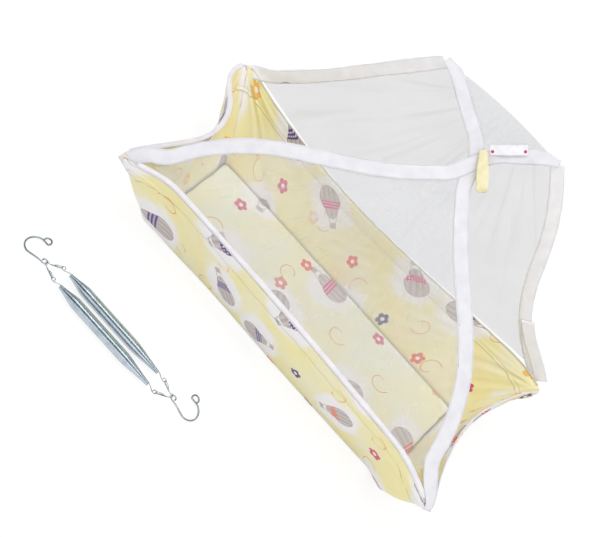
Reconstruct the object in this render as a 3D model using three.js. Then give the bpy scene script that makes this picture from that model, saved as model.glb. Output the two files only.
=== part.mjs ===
// A hanging baby cradle of printed cloth with a net canopy, and the spring set that it hangs from.
// Millimetres, +Z up. The cradle stands on its base, whose middle is the origin. X runs along it.
import * as THREE from "three";

const vec = (x, y, z) => new THREE.Vector3(x, y, z);

// Clearances
const gap = 0.3;
const wireGap = 0.5;
const sheetStandOff = 4.5;

// Base and walls
const baseLength = 712;
const baseWidth = 256;
const floorThickness = 2;
const boardThickness = 5;
const wallThickness = 5;
const wallFoot = floorThickness + gap;
const mattressEndMargin = 10;
const mattressSideMargin = 7;
const mattressLength = baseLength - 2 * mattressEndMargin;
const mattressWidth = baseWidth - 2 * mattressSideMargin;
const mattressThickness = 30;
const mattressCrown = 5;
const mattressCorner = 22;

// The rim's four corners as the cloth rests: shares of the base's length and width and of the rim's height
const rimHeight = 193;
const placedAt = (shares, height) => vec(shares[0] * baseLength, shares[1] * baseWidth, shares[2] * height);
const nearLeftShares = [-0.618, -0.6836, 1];
const nearRightShares = [0.573, -0.7969, 1.0104];
const farRightShares = [0.6236, 0.961, 0.9223];
const farLeftShares = [-0.6629, 0.875, 0.943];
const rimNearLeft = placedAt(nearLeftShares, rimHeight);
const rimNearRight = placedAt(nearRightShares, rimHeight);
const rimFarRight = placedAt(farRightShares, rimHeight);
const rimFarLeft = placedAt(farLeftShares, rimHeight);
const nearRimBow = 6;
const farRimBow = 46;
const farRimSkew = 8;
const leftRimBow = 50;
const rightRimBow = 34;
const endRimSag = 8;
const wallBelly = 6;
const foldDepth = 5;
const foldCount = 3;
const hemBulge = 3;
const hemThickness = 9;
const hemCrease = 2.5;
const pipingRadius = 2;
const floorCorner = 8;
const mattressDrawIn = 4;

// The canopy's crossing and the two ends of its fold, as shares in the same way
const crossingHeight = 490;
const crossingShares = [0.0098, 0.7734, 1];
const foldLeftShares = [-0.2669, 0.9492, 1.1796];
const foldRightShares = [0.184, 1.082, 1.1939];
const crossing = placedAt(crossingShares, crossingHeight);
const foldLeft = placedAt(foldLeftShares, crossingHeight);
const foldRight = placedAt(foldRightShares, crossingHeight);
const bandWidth = 31;
const bandThickness = 1.6;
const netThickness = 0.8;
const nearLeftBandBow = 24;
const nearLeftBandSwing = 21;
const nearRightBandBow = 42;
const nearRightBandSwing = 20;
const farLeftBandBow = -10;
const farLeftBandSwing = -3;
const farRightBandBow = -24;
const farRightBandSwing = -18;
const netSag = 12;
const bandFoot = 5;
const patchReach = 38;
const patchMargin = 1;
const netTip = 40;
const slackLength = 62;
const slackHeight = 9;
const slackStart = 16;
const slackOverhang = 14;

// The hanging loop
const loopWidth = 24;
const loopThickness = 1.8;
const loopRoot = 26;
const loopReach = 58;
const loopSetOver = 15;
const loopOpening = 14;
const loopLift = 3.9;
const loopUpperEndStep = 3;
const tailLength = 103;
const tailWidth = 22;
const tailClearance = 1.5;

// The spring set lies on the floor in front, all its eyes at one height
const axisHeight = 12;
const hookWire = 1.5;
const hookEyeRadius = 5.5;
const hookRadius = 23;
const hookReach = 36;
const hookOffset = 13;
const hookTipDrop = 10;
const hookShank = 11;
const hookCurlX = -30;
const hookCurlY = 40.5;
const hookCurlRadius = 8;
const linkWire = 0.8;
const linkEyeRadius = 3.2;
const linkLength = 40;
const linkLongEye = 14;
const springEyeWire = 1;
const springEyeRadius = 4;
const springPivots = 297;
const coilSetback = 19.5;
const coilLength = springPivots - 2 * coilSetback;
const coilRadius = 12;
const coilEndRadius = 6;
const coilWire = 2.5;
const coilCurls = 40;
const coilSides = 5;
const stepsPerCurl = 8;
const coilTaper = 58;
const coilNest = 5;
const upperEyeX = -416;
const upperEyeY = -391;
const upperEye = vec(upperEyeX, upperEyeY, axisHeight);
const radians = THREE.MathUtils.degToRad;
const steepLinkAngle = radians(35.6);
const flatLinkAngle = radians(-18.2);
const hookBendFrom = radians(-100);
const hookBendTo = radians(-260);
const hookCurlFrom = radians(-45);
const hookCurlTo = radians(200);

// Colours and finishes
const cloth = (color) => new THREE.MeshStandardMaterial({ color, roughness: 0.9, metalness: 0 });
const steel = (color) => new THREE.MeshStandardMaterial({ color, roughness: 0.25, metalness: 0.9 });
const yellow = "#efe6b4";
const paleYellow = "#f1eac0";
const white = "#efeef2";
const netGrey = "#e0dfe3";
const steelGrey = "#aebcc2";
const wireGrey = "#9ba3a6";
const boardBrown = "#b99b6b";

// Turns a list of corner numbers and a list of triangles into a geometry that faces out
function solidFrom(points, triangles) {
  let volume = 0;
  for (const [a, b, c] of triangles) {
    volume += points[a].dot(points[b].clone().cross(points[c]));
  }
  const faces = volume < 0 ? triangles.map(([a, b, c]) => [a, c, b]) : triangles;
  const geometry = new THREE.BufferGeometry();
  geometry.setAttribute("position", new THREE.Float32BufferAttribute(points.flatMap((p) => p.toArray()), 3));
  geometry.setIndex(faces.flat());
  geometry.computeVertexNormals();
  return geometry;
}

// A closed sheet between a front and a back surface, both given over u and v from 0 to 1
function sheet(front, back, across, along) {
  const points = [];
  for (const surface of [front, back]) {
    for (let j = 0; j <= along; j += 1) {
      for (let i = 0; i <= across; i += 1) {
        points.push(surface(i / across, j / along));
      }
    }
  }
  const row = across + 1;
  const layer = row * (along + 1);
  const triangles = [];
  const quad = (a, b, c, d) => triangles.push([a, b, c], [a, c, d]);
  for (let j = 0; j < along; j += 1) {
    for (let i = 0; i < across; i += 1) {
      const a = j * row + i;
      quad(a, a + 1, a + row + 1, a + row);
      quad(layer + a, layer + a + row, layer + a + row + 1, layer + a + 1);
    }
  }
  for (let i = 0; i < across; i += 1) {
    const top = along * row + i;
    quad(i + 1, i, layer + i, layer + i + 1);
    quad(top, top + 1, layer + top + 1, layer + top);
  }
  for (let j = 0; j < along; j += 1) {
    const left = j * row;
    const right = left + across;
    quad(left, left + row, layer + left + row, layer + left);
    quad(right + row, right, layer + right, layer + right + row);
  }
  return solidFrom(points, triangles);
}

// The same sheet given by its middle surface, thickened along its own normal
function thickSheet(middle, thickness, across, along) {
  const probeShare = 0.001;
  const normal = (u, v) => {
    const du = middle(u + probeShare, v).sub(middle(u - probeShare, v));
    const dv = middle(u, v + probeShare).sub(middle(u, v - probeShare));
    return du.cross(dv).normalize();
  };
  const side = (offset) => (u, v) => middle(u, v).addScaledVector(normal(u, v), offset);
  return sheet(side(thickness / 2), side(-thickness / 2), across, along);
}

// A round bar along a list of points
function bar(points, radius, sides, steps) {
  const section = new THREE.Shape();
  for (let i = 0; i < sides; i += 1) {
    const angle = (2 * Math.PI * i) / sides;
    const x = radius * Math.cos(angle);
    const y = radius * Math.sin(angle);
    if (i === 0) section.moveTo(x, y);
    else section.lineTo(x, y);
  }
  section.closePath();
  const path = new THREE.CatmullRomCurve3(points);
  return new THREE.ExtrudeGeometry(section, { steps, extrudePath: path, bevelEnabled: false });
}

// Points on an arc in the XY plane, both ends included
function arc(centreX, centreY, radius, from, to, count) {
  const points = [];
  for (let i = 0; i <= count; i += 1) {
    const angle = from + ((to - from) * i) / count;
    points.push(vec(centreX + radius * Math.cos(angle), centreY + radius * Math.sin(angle), 0));
  }
  return points;
}

// How far short of a full turn an eye stops, so that its end clears its own shank
const eyeOpening = (eyeRadius, wire) => Math.acos(1 - (2 * wire + wireGap) / eyeRadius);

const chord = (from, to) => to.clone().sub(from).normalize();

const cradle = new THREE.Group();

function add(name, geometry, material, position = vec(0, 0, 0)) {
  const mesh = new THREE.Mesh(geometry, material);
  mesh.name = name;
  mesh.position.copy(position);
  cradle.add(mesh);
  return mesh;
}

// Walls: each side runs between two corners, and both faces of the cloth meet on the corner's mitre
const baseCorner = (signX, signY) => vec((signX * baseLength) / 2, (signY * baseWidth) / 2, wallFoot);
const corners = {
  nearLeft: { signX: -1, signY: -1, base: baseCorner(-1, -1), rim: rimNearLeft },
  nearRight: { signX: 1, signY: -1, base: baseCorner(1, -1), rim: rimNearRight },
  farRight: { signX: 1, signY: 1, base: baseCorner(1, 1), rim: rimFarRight },
  farLeft: { signX: -1, signY: 1, base: baseCorner(-1, 1), rim: rimFarLeft },
};

// Height share, outward bulge and thickness at each level of a wall, up to the turned hem
const wallLevels = [
  { share: 0, bulge: 0, thickness: wallThickness },
  { share: 0.42, bulge: 0, thickness: wallThickness },
  { share: 0.8, bulge: 0, thickness: wallThickness },
  { share: 0.84, bulge: -hemCrease / 2, thickness: wallThickness - hemCrease },
  { share: 0.88, bulge: hemBulge, thickness: hemThickness },
  { share: 0.96, bulge: hemBulge, thickness: hemThickness },
  { share: 1, bulge: 0, thickness: wallThickness },
];

function cornerPoint(corner, level, inset) {
  const point = corner.base.clone().lerp(corner.rim, level.share);
  point.x += corner.signX * (level.bulge - inset);
  point.y += corner.signY * (level.bulge - inset);
  return point;
}

// Each side's two corners, its outward direction, and how its rim bows in and sags between the corners
const side = (from, to, out, bow, power, sag) => ({ from, to, out, bow, power, sag });
const sides = {
  near: side(corners.nearLeft, corners.nearRight, vec(0, -1, 0), nearRimBow, 2, 0),
  far: side(corners.farRight, corners.farLeft, vec(0, 1, 0), farRimBow, 1, 0),
  left: side(corners.farLeft, corners.nearLeft, vec(-1, 0, 0), leftRimBow, 2, endRimSag),
  right: side(corners.nearRight, corners.farRight, vec(1, 0, 0), rightRimBow, 2, endRimSag),
};

// How far a side's rim is drawn in from the straight line between its corners
function rimBow(side, u) {
  const skew = side === sides.far ? -farRimSkew * Math.sin(2 * Math.PI * u) : 0;
  return side.bow * Math.sin(Math.PI * u) ** side.power + skew;
}

function wallPoint(side, u, level, inset) {
  const from = cornerPoint(side.from, level, inset);
  const to = cornerPoint(side.to, level, inset);
  const shortenBy = (gap * Math.SQRT1_2) / from.distanceTo(to);
  const point = from.clone().lerp(to, shortenBy + u * (1 - 2 * shortenBy));
  const arch = Math.sin(Math.PI * u);
  const belly = wallBelly * arch * Math.sin(Math.PI * level.share);
  const fold = foldDepth * arch * Math.sin(2 * Math.PI * foldCount * u) * level.share * (1 - level.share);
  const drawn = level.share ** 2;
  point.addScaledVector(side.out, belly + fold - rimBow(side, u) * drawn);
  point.z -= side.sag * arch ** 2 * drawn;
  return point;
}

function addWall(name, side) {
  const across = 14;
  const along = wallLevels.length - 1;
  const levelAt = (v) => wallLevels[Math.round(v * along)];
  const outer = (u, v) => wallPoint(side, u, levelAt(v), 0);
  const inner = (u, v) => wallPoint(side, u, levelAt(v), levelAt(v).thickness);
  add(name, sheet(outer, inner, across, along), cloth(yellow));
}

// The middle of a wall's top edge
function rimPoint(side, u, lift) {
  const top = wallLevels[wallLevels.length - 1];
  const point = wallPoint(side, u, top, top.thickness / 2);
  point.z += lift;
  return point;
}

function addPiping(name, side) {
  const steps = 16;
  const marginShare = 0.012;
  const points = [];
  for (let i = 0; i <= steps; i += 1) {
    const u = marginShare + ((1 - 2 * marginShare) * i) / steps;
    points.push(rimPoint(side, u, pipingRadius + gap));
  }
  add(name, bar(points, pipingRadius, 6, steps), cloth(white));
}

// A flat plate with rounded corners, drawn upward from a height
function plate(length, width, corner, height, thickness) {
  const outline = new THREE.Shape();
  const x = length / 2 - corner;
  const y = width / 2 - corner;
  outline.absarc(x, y, corner, 0, Math.PI / 2);
  outline.absarc(-x, y, corner, Math.PI / 2, Math.PI);
  outline.absarc(-x, -y, corner, Math.PI, (3 * Math.PI) / 2);
  outline.absarc(x, -y, corner, (3 * Math.PI) / 2, 2 * Math.PI);
  outline.closePath();
  const settings = { depth: thickness, bevelEnabled: false, curveSegments: 4 };
  const geometry = new THREE.ExtrudeGeometry(outline, settings);
  return geometry.translate(0, 0, height);
}

function addBase() {
  const inset = 2 * (wallThickness + gap);
  add("floor_cloth", plate(baseLength, baseWidth, floorCorner, 0, floorThickness), cloth(yellow));
  const board = plate(baseLength - inset, baseWidth - inset, floorCorner, wallFoot, boardThickness);
  add("base_board", board, cloth(boardBrown));
}

// The mattress: a flat underside, sides drawn in between the corners and a crowned top
function addMattress() {
  const across = 16;
  const along = 8;
  const edgeShare = 0.45;
  const bottom = wallFoot + boardThickness + gap;
  const outline = (u, v) => {
    const a = 2 * u - 1;
    const b = 2 * v - 1;
    const roundX = 1 - (mattressCorner / mattressLength) * b ** 8;
    const roundY = 1 - (mattressCorner / mattressWidth) * a ** 8;
    const x = (mattressLength / 2) * a * roundX - mattressDrawIn * a * (1 - b * b);
    const y = (mattressWidth / 2) * b * roundY - mattressDrawIn * b * (1 - a * a);
    return vec(x, y, 0);
  };
  const under = (u, v) => outline(u, v).setZ(bottom);
  const over = (u, v) => {
    const reach = Math.max(Math.abs(2 * u - 1), Math.abs(2 * v - 1));
    const edge = edgeShare + (1 - edgeShare) * Math.sqrt(1 - reach ** 6);
    const crown = mattressCrown * Math.sin(Math.PI * u) * Math.sin(Math.PI * v);
    return outline(u, v).setZ(bottom + mattressThickness * edge + crown);
  };
  add("mattress", sheet(over, under, across, along), cloth(paleYellow));
}

// An edge of the canopy: a straight line that may bow and swing away from the sheet beside it. The sheet
// leaves the edge in one direction at its start and in another at its end.
class CanopyEdge {
  constructor(from, to, startSide, endSide, slack) {
    this.from = from;
    this.length = from.distanceTo(to);
    this.along = chord(from, to);
    this.startInward = startSide.clone().projectOnPlane(this.along).normalize();
    this.endInward = endSide.clone().projectOnPlane(this.along).normalize();
    this.slack = slack;
  }
  inwardAt(distance) {
    return this.startInward.clone().lerp(this.endInward, distance / this.length).normalize();
  }
  // How far the edge stands out from its straight line
  outAt(distance) {
    const angle = (Math.PI * distance) / this.length;
    return this.slack.bow * Math.sin(angle) + this.slack.swing * Math.sin(2 * angle);
  }
  // The point a distance along the edge and a distance in from it
  at(distance, inset) {
    const foot = this.from.clone().addScaledVector(this.along, distance);
    return foot.addScaledVector(this.inwardAt(distance), inset - this.outAt(distance));
  }
  // How far along the edge a line at this inset meets another edge that starts at the same corner
  meets(inset, other) {
    const slope = 1 / Math.tan(this.along.angleTo(other));
    const rounds = 8;
    let distance = inset * slope;
    for (let i = 0; i < rounds; i += 1) {
      distance = (inset - this.outAt(distance)) * slope;
    }
    return distance;
  }
}

// Bands and nets bend at the same places along an edge
const canopySteps = 14;

// A band laid along an edge; its ends are cut where the outer and the inner edge start and stop
function addBand(name, edge, outerRange, innerRange) {
  const middle = (u, v) => {
    const outer = edge.at(outerRange[0] + (outerRange[1] - outerRange[0]) * v, 0);
    const inner = edge.at(innerRange[0] + (innerRange[1] - innerRange[0]) * v, bandWidth);
    return outer.lerp(inner, u);
  };
  add(name, thickSheet(middle, bandThickness, 1, canopySteps), cloth(white));
}

// A net between two edges' bands, from its foot to its top
function addNet(name, left, leftRange, right, rightRange, foot, sag) {
  const inset = bandWidth + gap;
  const middle = (u, v) => {
    const a = left.at(leftRange[0] + (leftRange[1] - leftRange[0]) * v, inset);
    const b = right.at(rightRange[0] + (rightRange[1] - rightRange[0]) * v, inset);
    const point = a.lerp(b, u).add(sag(u, v));
    return point.addScaledVector(foot(u), (1 - v) ** 3);
  };
  add(name, thickSheet(middle, netThickness, 12, canopySteps), cloth(netGrey));
}

const nowhere = () => vec(0, 0, 0);

// The canopy rests on the pipings: its foot at a corner is a clearance off the piping's surface
function canopyFoot(corner, normal, halfThickness) {
  const top = wallLevels[wallLevels.length - 1];
  const foot = cornerPoint(corner, top, top.thickness / 2).add(vec(0, 0, pipingRadius + gap));
  return foot.addScaledVector(normal, pipingRadius + gap + halfThickness);
}

// How far a long side's bowed rim stands from the straight line between its corners, from left to right
const nearFoot = (u) => sides.near.out.clone().multiplyScalar(-rimBow(sides.near, u));
const farFoot = (u) => sides.far.out.clone().multiplyScalar(-rimBow(sides.far, 1 - u));

const upright = vec(0, 0, 1);
const nearSlope = chord(crossing, rimNearLeft).cross(chord(crossing, rimNearRight)).normalize();
const footNearLeft = canopyFoot(corners.nearLeft, nearSlope, bandThickness / 2);
const footNearRight = canopyFoot(corners.nearRight, nearSlope, bandThickness / 2);
const footFarLeft = canopyFoot(corners.farLeft, upright, 0);
const footFarRight = canopyFoot(corners.farRight, upright, 0);
const rimNear = chord(footNearLeft, footNearRight);
const rimFar = chord(footFarLeft, footFarRight);
const ridge = chord(foldLeft, foldRight);
const opposite = (direction) => direction.clone().negate();

// How far each edge's band bows out at its middle, and swings out and in at its quarters
const nearLeftSlack = { bow: nearLeftBandBow, swing: nearLeftBandSwing };
const nearRightSlack = { bow: nearRightBandBow, swing: nearRightBandSwing };
const farLeftSlack = { bow: farLeftBandBow, swing: farLeftBandSwing };
const farRightSlack = { bow: farRightBandBow, swing: farRightBandSwing };
const taut = { bow: 0, swing: 0 };
const edges = {
  nearLeft: new CanopyEdge(footNearLeft, crossing, rimNear, rimNear, nearLeftSlack),
  nearRight: new CanopyEdge(footNearRight, crossing, opposite(rimNear), opposite(rimNear), nearRightSlack),
  farLeft: new CanopyEdge(footFarLeft, foldLeft, rimFar, ridge, farLeftSlack),
  farRight: new CanopyEdge(footFarRight, foldRight, opposite(rimFar), opposite(ridge), farRightSlack),
  flapLeft: new CanopyEdge(foldLeft, crossing, ridge, ridge, taut),
  flapRight: new CanopyEdge(foldRight, crossing, opposite(ridge), opposite(ridge), taut),
};

function addNearCanopy() {
  const leftStart = edges.nearLeft.meets(bandWidth, rimNear);
  const rightStart = edges.nearRight.meets(bandWidth, opposite(rimNear));
  const starts = [leftStart, rightStart];
  const ends = [edges.nearLeft.length, edges.nearRight.length];
  const sag = (u, v) => vec(0, 0, -netSag * Math.sin(Math.PI * u) * Math.sin(Math.PI * v));
  for (const [i, side] of ["Left", "Right"].entries()) {
    const edge = edges[`near${side}`];
    const outer = [bandFoot, ends[i] - patchReach];
    const inner = [starts[i], ends[i] - patchReach];
    addBand(`near_band_${side.toLowerCase()}`, edge, outer, inner);
  }
  const leftRange = [starts[0], ends[0] - netTip];
  const rightRange = [starts[1], ends[1] - netTip];
  addNet("near_net", edges.nearLeft, leftRange, edges.nearRight, rightRange, nearFoot, sag);
}

function addFarCanopy() {
  const toward = { Left: 1, Right: -1 };
  const ranges = {};
  for (const side of ["Left", "Right"]) {
    const edge = edges[`far${side}`];
    const start = edge.meets(bandWidth, rimFar.clone().multiplyScalar(toward[side]));
    const back = opposite(edge.along);
    const alongRidge = ridge.clone().multiplyScalar(toward[side]);
    const overshoot = bandWidth / Math.tan(back.angleTo(alongRidge));
    const stop = edge.length - sheetStandOff;
    ranges[side] = [start, stop - overshoot];
    addBand(`far_band_${side.toLowerCase()}`, edge, [bandFoot, stop], ranges[side]);
  }
  addNet("far_net", edges.farLeft, ranges.Left, edges.farRight, ranges.Right, farFoot, nowhere);
}

function addFlap() {
  const toward = { Left: 1, Right: -1 };
  const ranges = {};
  for (const side of ["Left", "Right"]) {
    const edge = edges[`flap${side}`];
    const angle = edge.along.angleTo(ridge.clone().multiplyScalar(toward[side]));
    const begin = sheetStandOff / Math.sin(angle);
    const innerBegin = begin + bandWidth / Math.tan(angle);
    const stop = edge.length - patchReach;
    ranges[side] = [innerBegin, edge.length - netTip];
    addBand(`flap_band_${side.toLowerCase()}`, edge, [begin, stop], [innerBegin, stop]);
  }
  addNet("flap_net", edges.flapLeft, ranges.Left, edges.flapRight, ranges.Right, nowhere, nowhere);
}

// The patch over the crossing reaches to the ends of its four bands
function addCrossingPatch() {
  const end = (edge, inset) => edge.at(edge.length - patchReach, inset);
  const ring = [
    end(edges.nearLeft, bandWidth),
    end(edges.nearLeft, 0),
    end(edges.flapLeft, 0),
    end(edges.flapLeft, bandWidth),
    end(edges.flapRight, bandWidth),
    end(edges.flapRight, 0),
    end(edges.nearRight, 0),
    end(edges.nearRight, bandWidth),
  ];
  const normal = crossingNormal.clone().multiplyScalar(bandThickness / 2);
  const pulled = ring.map((point) => point.clone().addScaledVector(chord(point, crossing), patchMargin));
  const front = [crossing, ...pulled].map((point) => point.clone().add(normal));
  const back = [crossing, ...pulled].map((point) => point.clone().sub(normal));
  const count = pulled.length;
  const triangles = [];
  for (let i = 0; i < count; i += 1) {
    const a = 1 + i;
    const b = 1 + ((i + 1) % count);
    const behind = count + 1;
    triangles.push([0, a, b], [behind, behind + b, behind + a]);
    triangles.push([a, behind + a, behind + b], [a, behind + b, b]);
  }
  add("crossing_patch", solidFrom([...front, ...back], triangles), cloth(white));
}

// The slack of the band at the far right corner lies on it as one flat fold
function addBandFold() {
  const edge = edges.farRight;
  const out = edge.along.clone().cross(edge.startInward).normalize();
  if (out.y < 0) out.negate();
  const steps = 8;
  const middle = (u, v) => {
    const rise = bandThickness + gap + slackHeight * Math.sin(Math.PI * v);
    return edge.at(slackStart + slackLength * v, bandWidth * u - slackOverhang).addScaledVector(out, rise);
  };
  add("band_fold", thickSheet(middle, bandThickness, 1, steps), cloth(white));
}

// Directions at the crossing: out of the cloth, and down to the right over each sheet
const nearNormal = chord(crossing, footNearLeft).cross(chord(crossing, footNearRight)).normalize();
const flapNormal = chord(crossing, foldRight).cross(chord(crossing, foldLeft)).normalize();
const crossingNormal = nearNormal.clone().add(flapNormal).normalize();
const downRight = (normal) => {
  const down = vec(0, 0, -1).projectOnPlane(normal).normalize();
  const right = vec(1, 0, 0).projectOnPlane(normal).normalize();
  return down.add(right).normalize();
};

// A strap of rectangular section along a curve, its width along one direction
function strap(points, widthDirection, width, thickness, steps) {
  const curve = new THREE.CatmullRomCurve3(points);
  const middle = (u, v) => {
    const clamped = Math.min(1, Math.max(0, v));
    const over = v - clamped;
    const beyond = curve.getTangentAt(clamped).multiplyScalar(over * curve.getLength());
    const point = curve.getPointAt(clamped).add(beyond);
    return point.addScaledVector(widthDirection, (u - 1 / 2) * width);
  };
  return thickSheet(middle, thickness, 1, steps);
}

function addHangLoop() {
  const overNear = downRight(nearNormal);
  const overFlap = downRight(flapNormal);
  const acrossLoop = crossingNormal.clone().cross(overNear).normalize();
  const root = crossing.clone().addScaledVector(acrossLoop, loopSetOver);
  const place = (along, height) => {
    const direction = along < 0 ? overFlap : overNear;
    return root.clone().addScaledVector(direction, along).addScaledVector(crossingNormal, height);
  };
  const legGap = loopThickness + wireGap;
  const topLeg = loopLift + loopOpening;
  const points = [
    place(-loopRoot, loopLift),
    place(-loopRoot / 2, loopLift),
    place(loopReach / 3, loopLift),
    place((2 * loopReach) / 3, loopLift),
    place(loopReach, loopLift + loopOpening / 2),
    place((2 * loopReach) / 3, topLeg),
    place(loopReach / 3, loopLift + (3 * loopOpening) / 4),
    place(-loopRoot / 2, loopLift + legGap),
    place(-loopRoot + loopUpperEndStep, loopLift + legGap),
  ];
  add("hang_loop", strap(points, acrossLoop, loopWidth, loopThickness, 20), cloth(yellow));
}

function addLoopTail() {
  const overFlap = downRight(flapNormal);
  const upRight = overFlap.clone().cross(flapNormal).normalize();
  if (upRight.x < 0) upRight.negate();
  const place = (along) =>
    crossing
      .clone()
      .addScaledVector(overFlap, -loopRoot)
      .addScaledVector(upRight, along)
      .addScaledVector(flapNormal, bandThickness + gap);
  const start = loopSetOver + loopWidth / 2 + tailClearance;
  const points = [place(start), place((start + tailLength) / 2), place(tailLength)];
  add("loop_tail", strap(points, overFlap, tailWidth, bandThickness, 4), cloth(paleYellow));
}

// The hook's wire, with its eye at the origin and the hook to the left when mirror is 1
function hookGeometry(mirror) {
  const opening = eyeOpening(hookEyeRadius, hookWire);
  const eye = arc(0, 0, hookEyeRadius, (3 * Math.PI) / 2 - opening, -Math.PI / 2, 14);
  const bend = arc(-hookReach, hookOffset, hookRadius, hookBendFrom, hookBendTo, 12);
  const curl = arc(hookCurlX, hookCurlY, hookCurlRadius, hookCurlFrom, hookCurlTo, 9);
  const route = [...eye, vec(-hookShank, -hookEyeRadius - hookWire / 2, 0), ...bend, ...curl];
  const flatUntil = hookEyeRadius + hookWire;
  const slope = hookTipDrop / (hookReach + hookRadius - flatUntil);
  const placed = route.map((point) => {
    const drop = slope * Math.max(0, -point.x - flatUntil);
    return vec(mirror * point.x, point.y, -drop);
  });
  return bar(placed, hookWire, 6, 72);
}

// A link's wire in its own upright plane: a small eye for the hook and a long eye for the spring
function linkGeometry(angle) {
  const opening = eyeOpening(linkEyeRadius, linkWire);
  const reach = linkEyeRadius - linkWire - gap;
  const hookEnd = hookEyeRadius - hookWire + reach;
  const springEnd = linkLength - (springEyeRadius - springEyeWire + reach);
  const small = arc(hookEnd, 0, linkEyeRadius, -Math.PI / 2 - opening, (-5 * Math.PI) / 2, 12);
  const bend = arc(springEnd, 0, linkEyeRadius, -Math.PI / 2, Math.PI / 2, 7);
  const back = [vec(springEnd - linkLongEye / 2, linkEyeRadius, 0), vec(springEnd - linkLongEye, 0, 0)];
  const shank = [
    vec(hookEnd + (springEnd - hookEnd) / 3, -linkEyeRadius, 0),
    vec(springEnd - (springEnd - hookEnd) / 3, -linkEyeRadius, 0),
  ];
  const route = [...small, ...shank, ...bend, ...back];
  const upright = route.map((point) => vec(point.x * Math.cos(angle), point.x * Math.sin(angle), point.y));
  return bar(upright, linkWire, 6, 44);
}

// A spring's end wire: an eye at the origin and a shank into the coil, on the right when mirror is 1
function springEyeGeometry(mirror) {
  const opening = eyeOpening(springEyeRadius, springEyeWire);
  const eye = arc(0, 0, springEyeRadius, -Math.PI / 2 + opening, (3 * Math.PI) / 2, 12);
  const seat = coilEndRadius - coilWire * Math.cos(Math.PI / coilSides) - springEyeWire - gap;
  const shank = [
    vec(springEyeRadius, -springEyeRadius, 0),
    vec((coilSetback + springEyeRadius) / 2, 0, 0),
    vec(coilSetback - coilNest / 2, seat, 0),
    vec(coilSetback + coilNest, seat, 0),
  ];
  const route = [...eye, ...shank].map((point) => vec(mirror * point.x, point.y, 0));
  return bar(route, springEyeWire, 6, 30);
}

// The coil's radius at a distance from its start: it swells from its ends to its full width
function coilRadiusAt(distance) {
  const fromEnd = Math.min(distance, coilLength - distance);
  const share = Math.min(1, Math.max(0, fromEnd / coilTaper));
  const swell = Math.sin((share * Math.PI) / 2);
  return coilEndRadius + (coilRadius - coilWire - coilEndRadius) * swell;
}

function coilCentre(step) {
  const angle = (2 * Math.PI * step) / stepsPerCurl;
  const total = coilCurls * stepsPerCurl;
  const distance = coilWire + ((coilLength - 2 * coilWire) * step) / total;
  const radius = coilRadiusAt(distance);
  return { centre: vec(distance, radius * Math.cos(angle), radius * Math.sin(angle)), angle };
}

function coilGeometry() {
  const total = coilCurls * stepsPerCurl;
  const points = [];
  const triangles = [];
  for (let step = 0; step <= total; step += 1) {
    const { centre, angle } = coilCentre(step);
    const radial = vec(0, Math.cos(angle), Math.sin(angle));
    for (let i = 0; i < coilSides; i += 1) {
      const turn = (2 * Math.PI * i) / coilSides;
      const point = centre.clone().addScaledVector(radial, coilWire * Math.cos(turn));
      points.push(point.add(vec(coilWire * Math.sin(turn), 0, 0)));
    }
  }
  for (let step = 0; step < total; step += 1) {
    for (let i = 0; i < coilSides; i += 1) {
      const a = step * coilSides + i;
      const b = step * coilSides + ((i + 1) % coilSides);
      triangles.push([a, b, b + coilSides], [a, b + coilSides, a + coilSides]);
    }
  }
  for (let i = 1; i < coilSides - 1; i += 1) {
    const last = total * coilSides;
    triangles.push([0, i + 1, i], [last, last + i, last + i + 1]);
  }
  return solidFrom(points, triangles);
}

// The least gap between the coil's turns, measured between points of its centre line a turn apart
function leastCoilGap() {
  let least = Infinity;
  for (let step = 0; step + stepsPerCurl <= coilCurls * stepsPerCurl; step += 1) {
    const here = coilCentre(step).centre;
    for (let near = -2; near <= 2; near += 1) {
      const there = coilCentre(step + stepsPerCurl + near).centre;
      least = Math.min(least, here.distanceTo(there));
    }
  }
  return least - 2 * coilWire;
}

const linkEnd = (angle) => vec(linkLength * Math.cos(angle), linkLength * Math.sin(angle), 0);

function addSpringSet() {
  const steepEnd = linkEnd(steepLinkAngle);
  const flatEnd = linkEnd(flatLinkAngle);
  const along = vec(springPivots, 0, 0);
  const lowerEye = upperEye.clone().add(steepEnd).add(along).add(flatEnd);
  const coilStart = vec(coilSetback, 0, 0);
  add("upper_hook", hookGeometry(1), steel(wireGrey), upperEye);
  add("lower_hook", hookGeometry(-1), steel(wireGrey), lowerEye);
  const lines = [
    { number: 1, upper: steepLinkAngle, lower: flatLinkAngle, start: steepEnd },
    { number: 2, upper: flatLinkAngle, lower: steepLinkAngle, start: flatEnd },
  ];
  for (const { number, upper, lower, start } of lines) {
    const top = upperEye.clone().add(start);
    const bottom = top.clone().add(along);
    add(`upper_link_${number}`, linkGeometry(upper), steel(wireGrey), upperEye);
    add(`lower_link_${number}`, linkGeometry(lower + Math.PI), steel(wireGrey), lowerEye);
    add(`spring_${number}_upper_eye`, springEyeGeometry(1), steel(wireGrey), top);
    add(`spring_${number}_lower_eye`, springEyeGeometry(-1), steel(wireGrey), bottom);
    add(`spring_${number}_coil`, coilGeometry(), steel(steelGrey), top.clone().add(coilStart));
  }
  console.log(`least gap between a coil's turns: ${leastCoilGap().toFixed(2)} mm`);
}

addBase();
addMattress();
for (const name of Object.keys(sides)) {
  addWall(`${name}_wall`, sides[name]);
  addPiping(`${name}_rim_piping`, sides[name]);
}
addNearCanopy();
addFarCanopy();
addFlap();
addCrossingPatch();
addBandFold();
addHangLoop();
addLoopTail();
addSpringSet();

export default cradle;
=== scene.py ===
"""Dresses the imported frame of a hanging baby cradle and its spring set.

Lengths are in millimetres until a mesh is made, and in metres in the materials.
"""
import math
import random

import bpy
import numpy as np
from mathutils import Matrix


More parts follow.
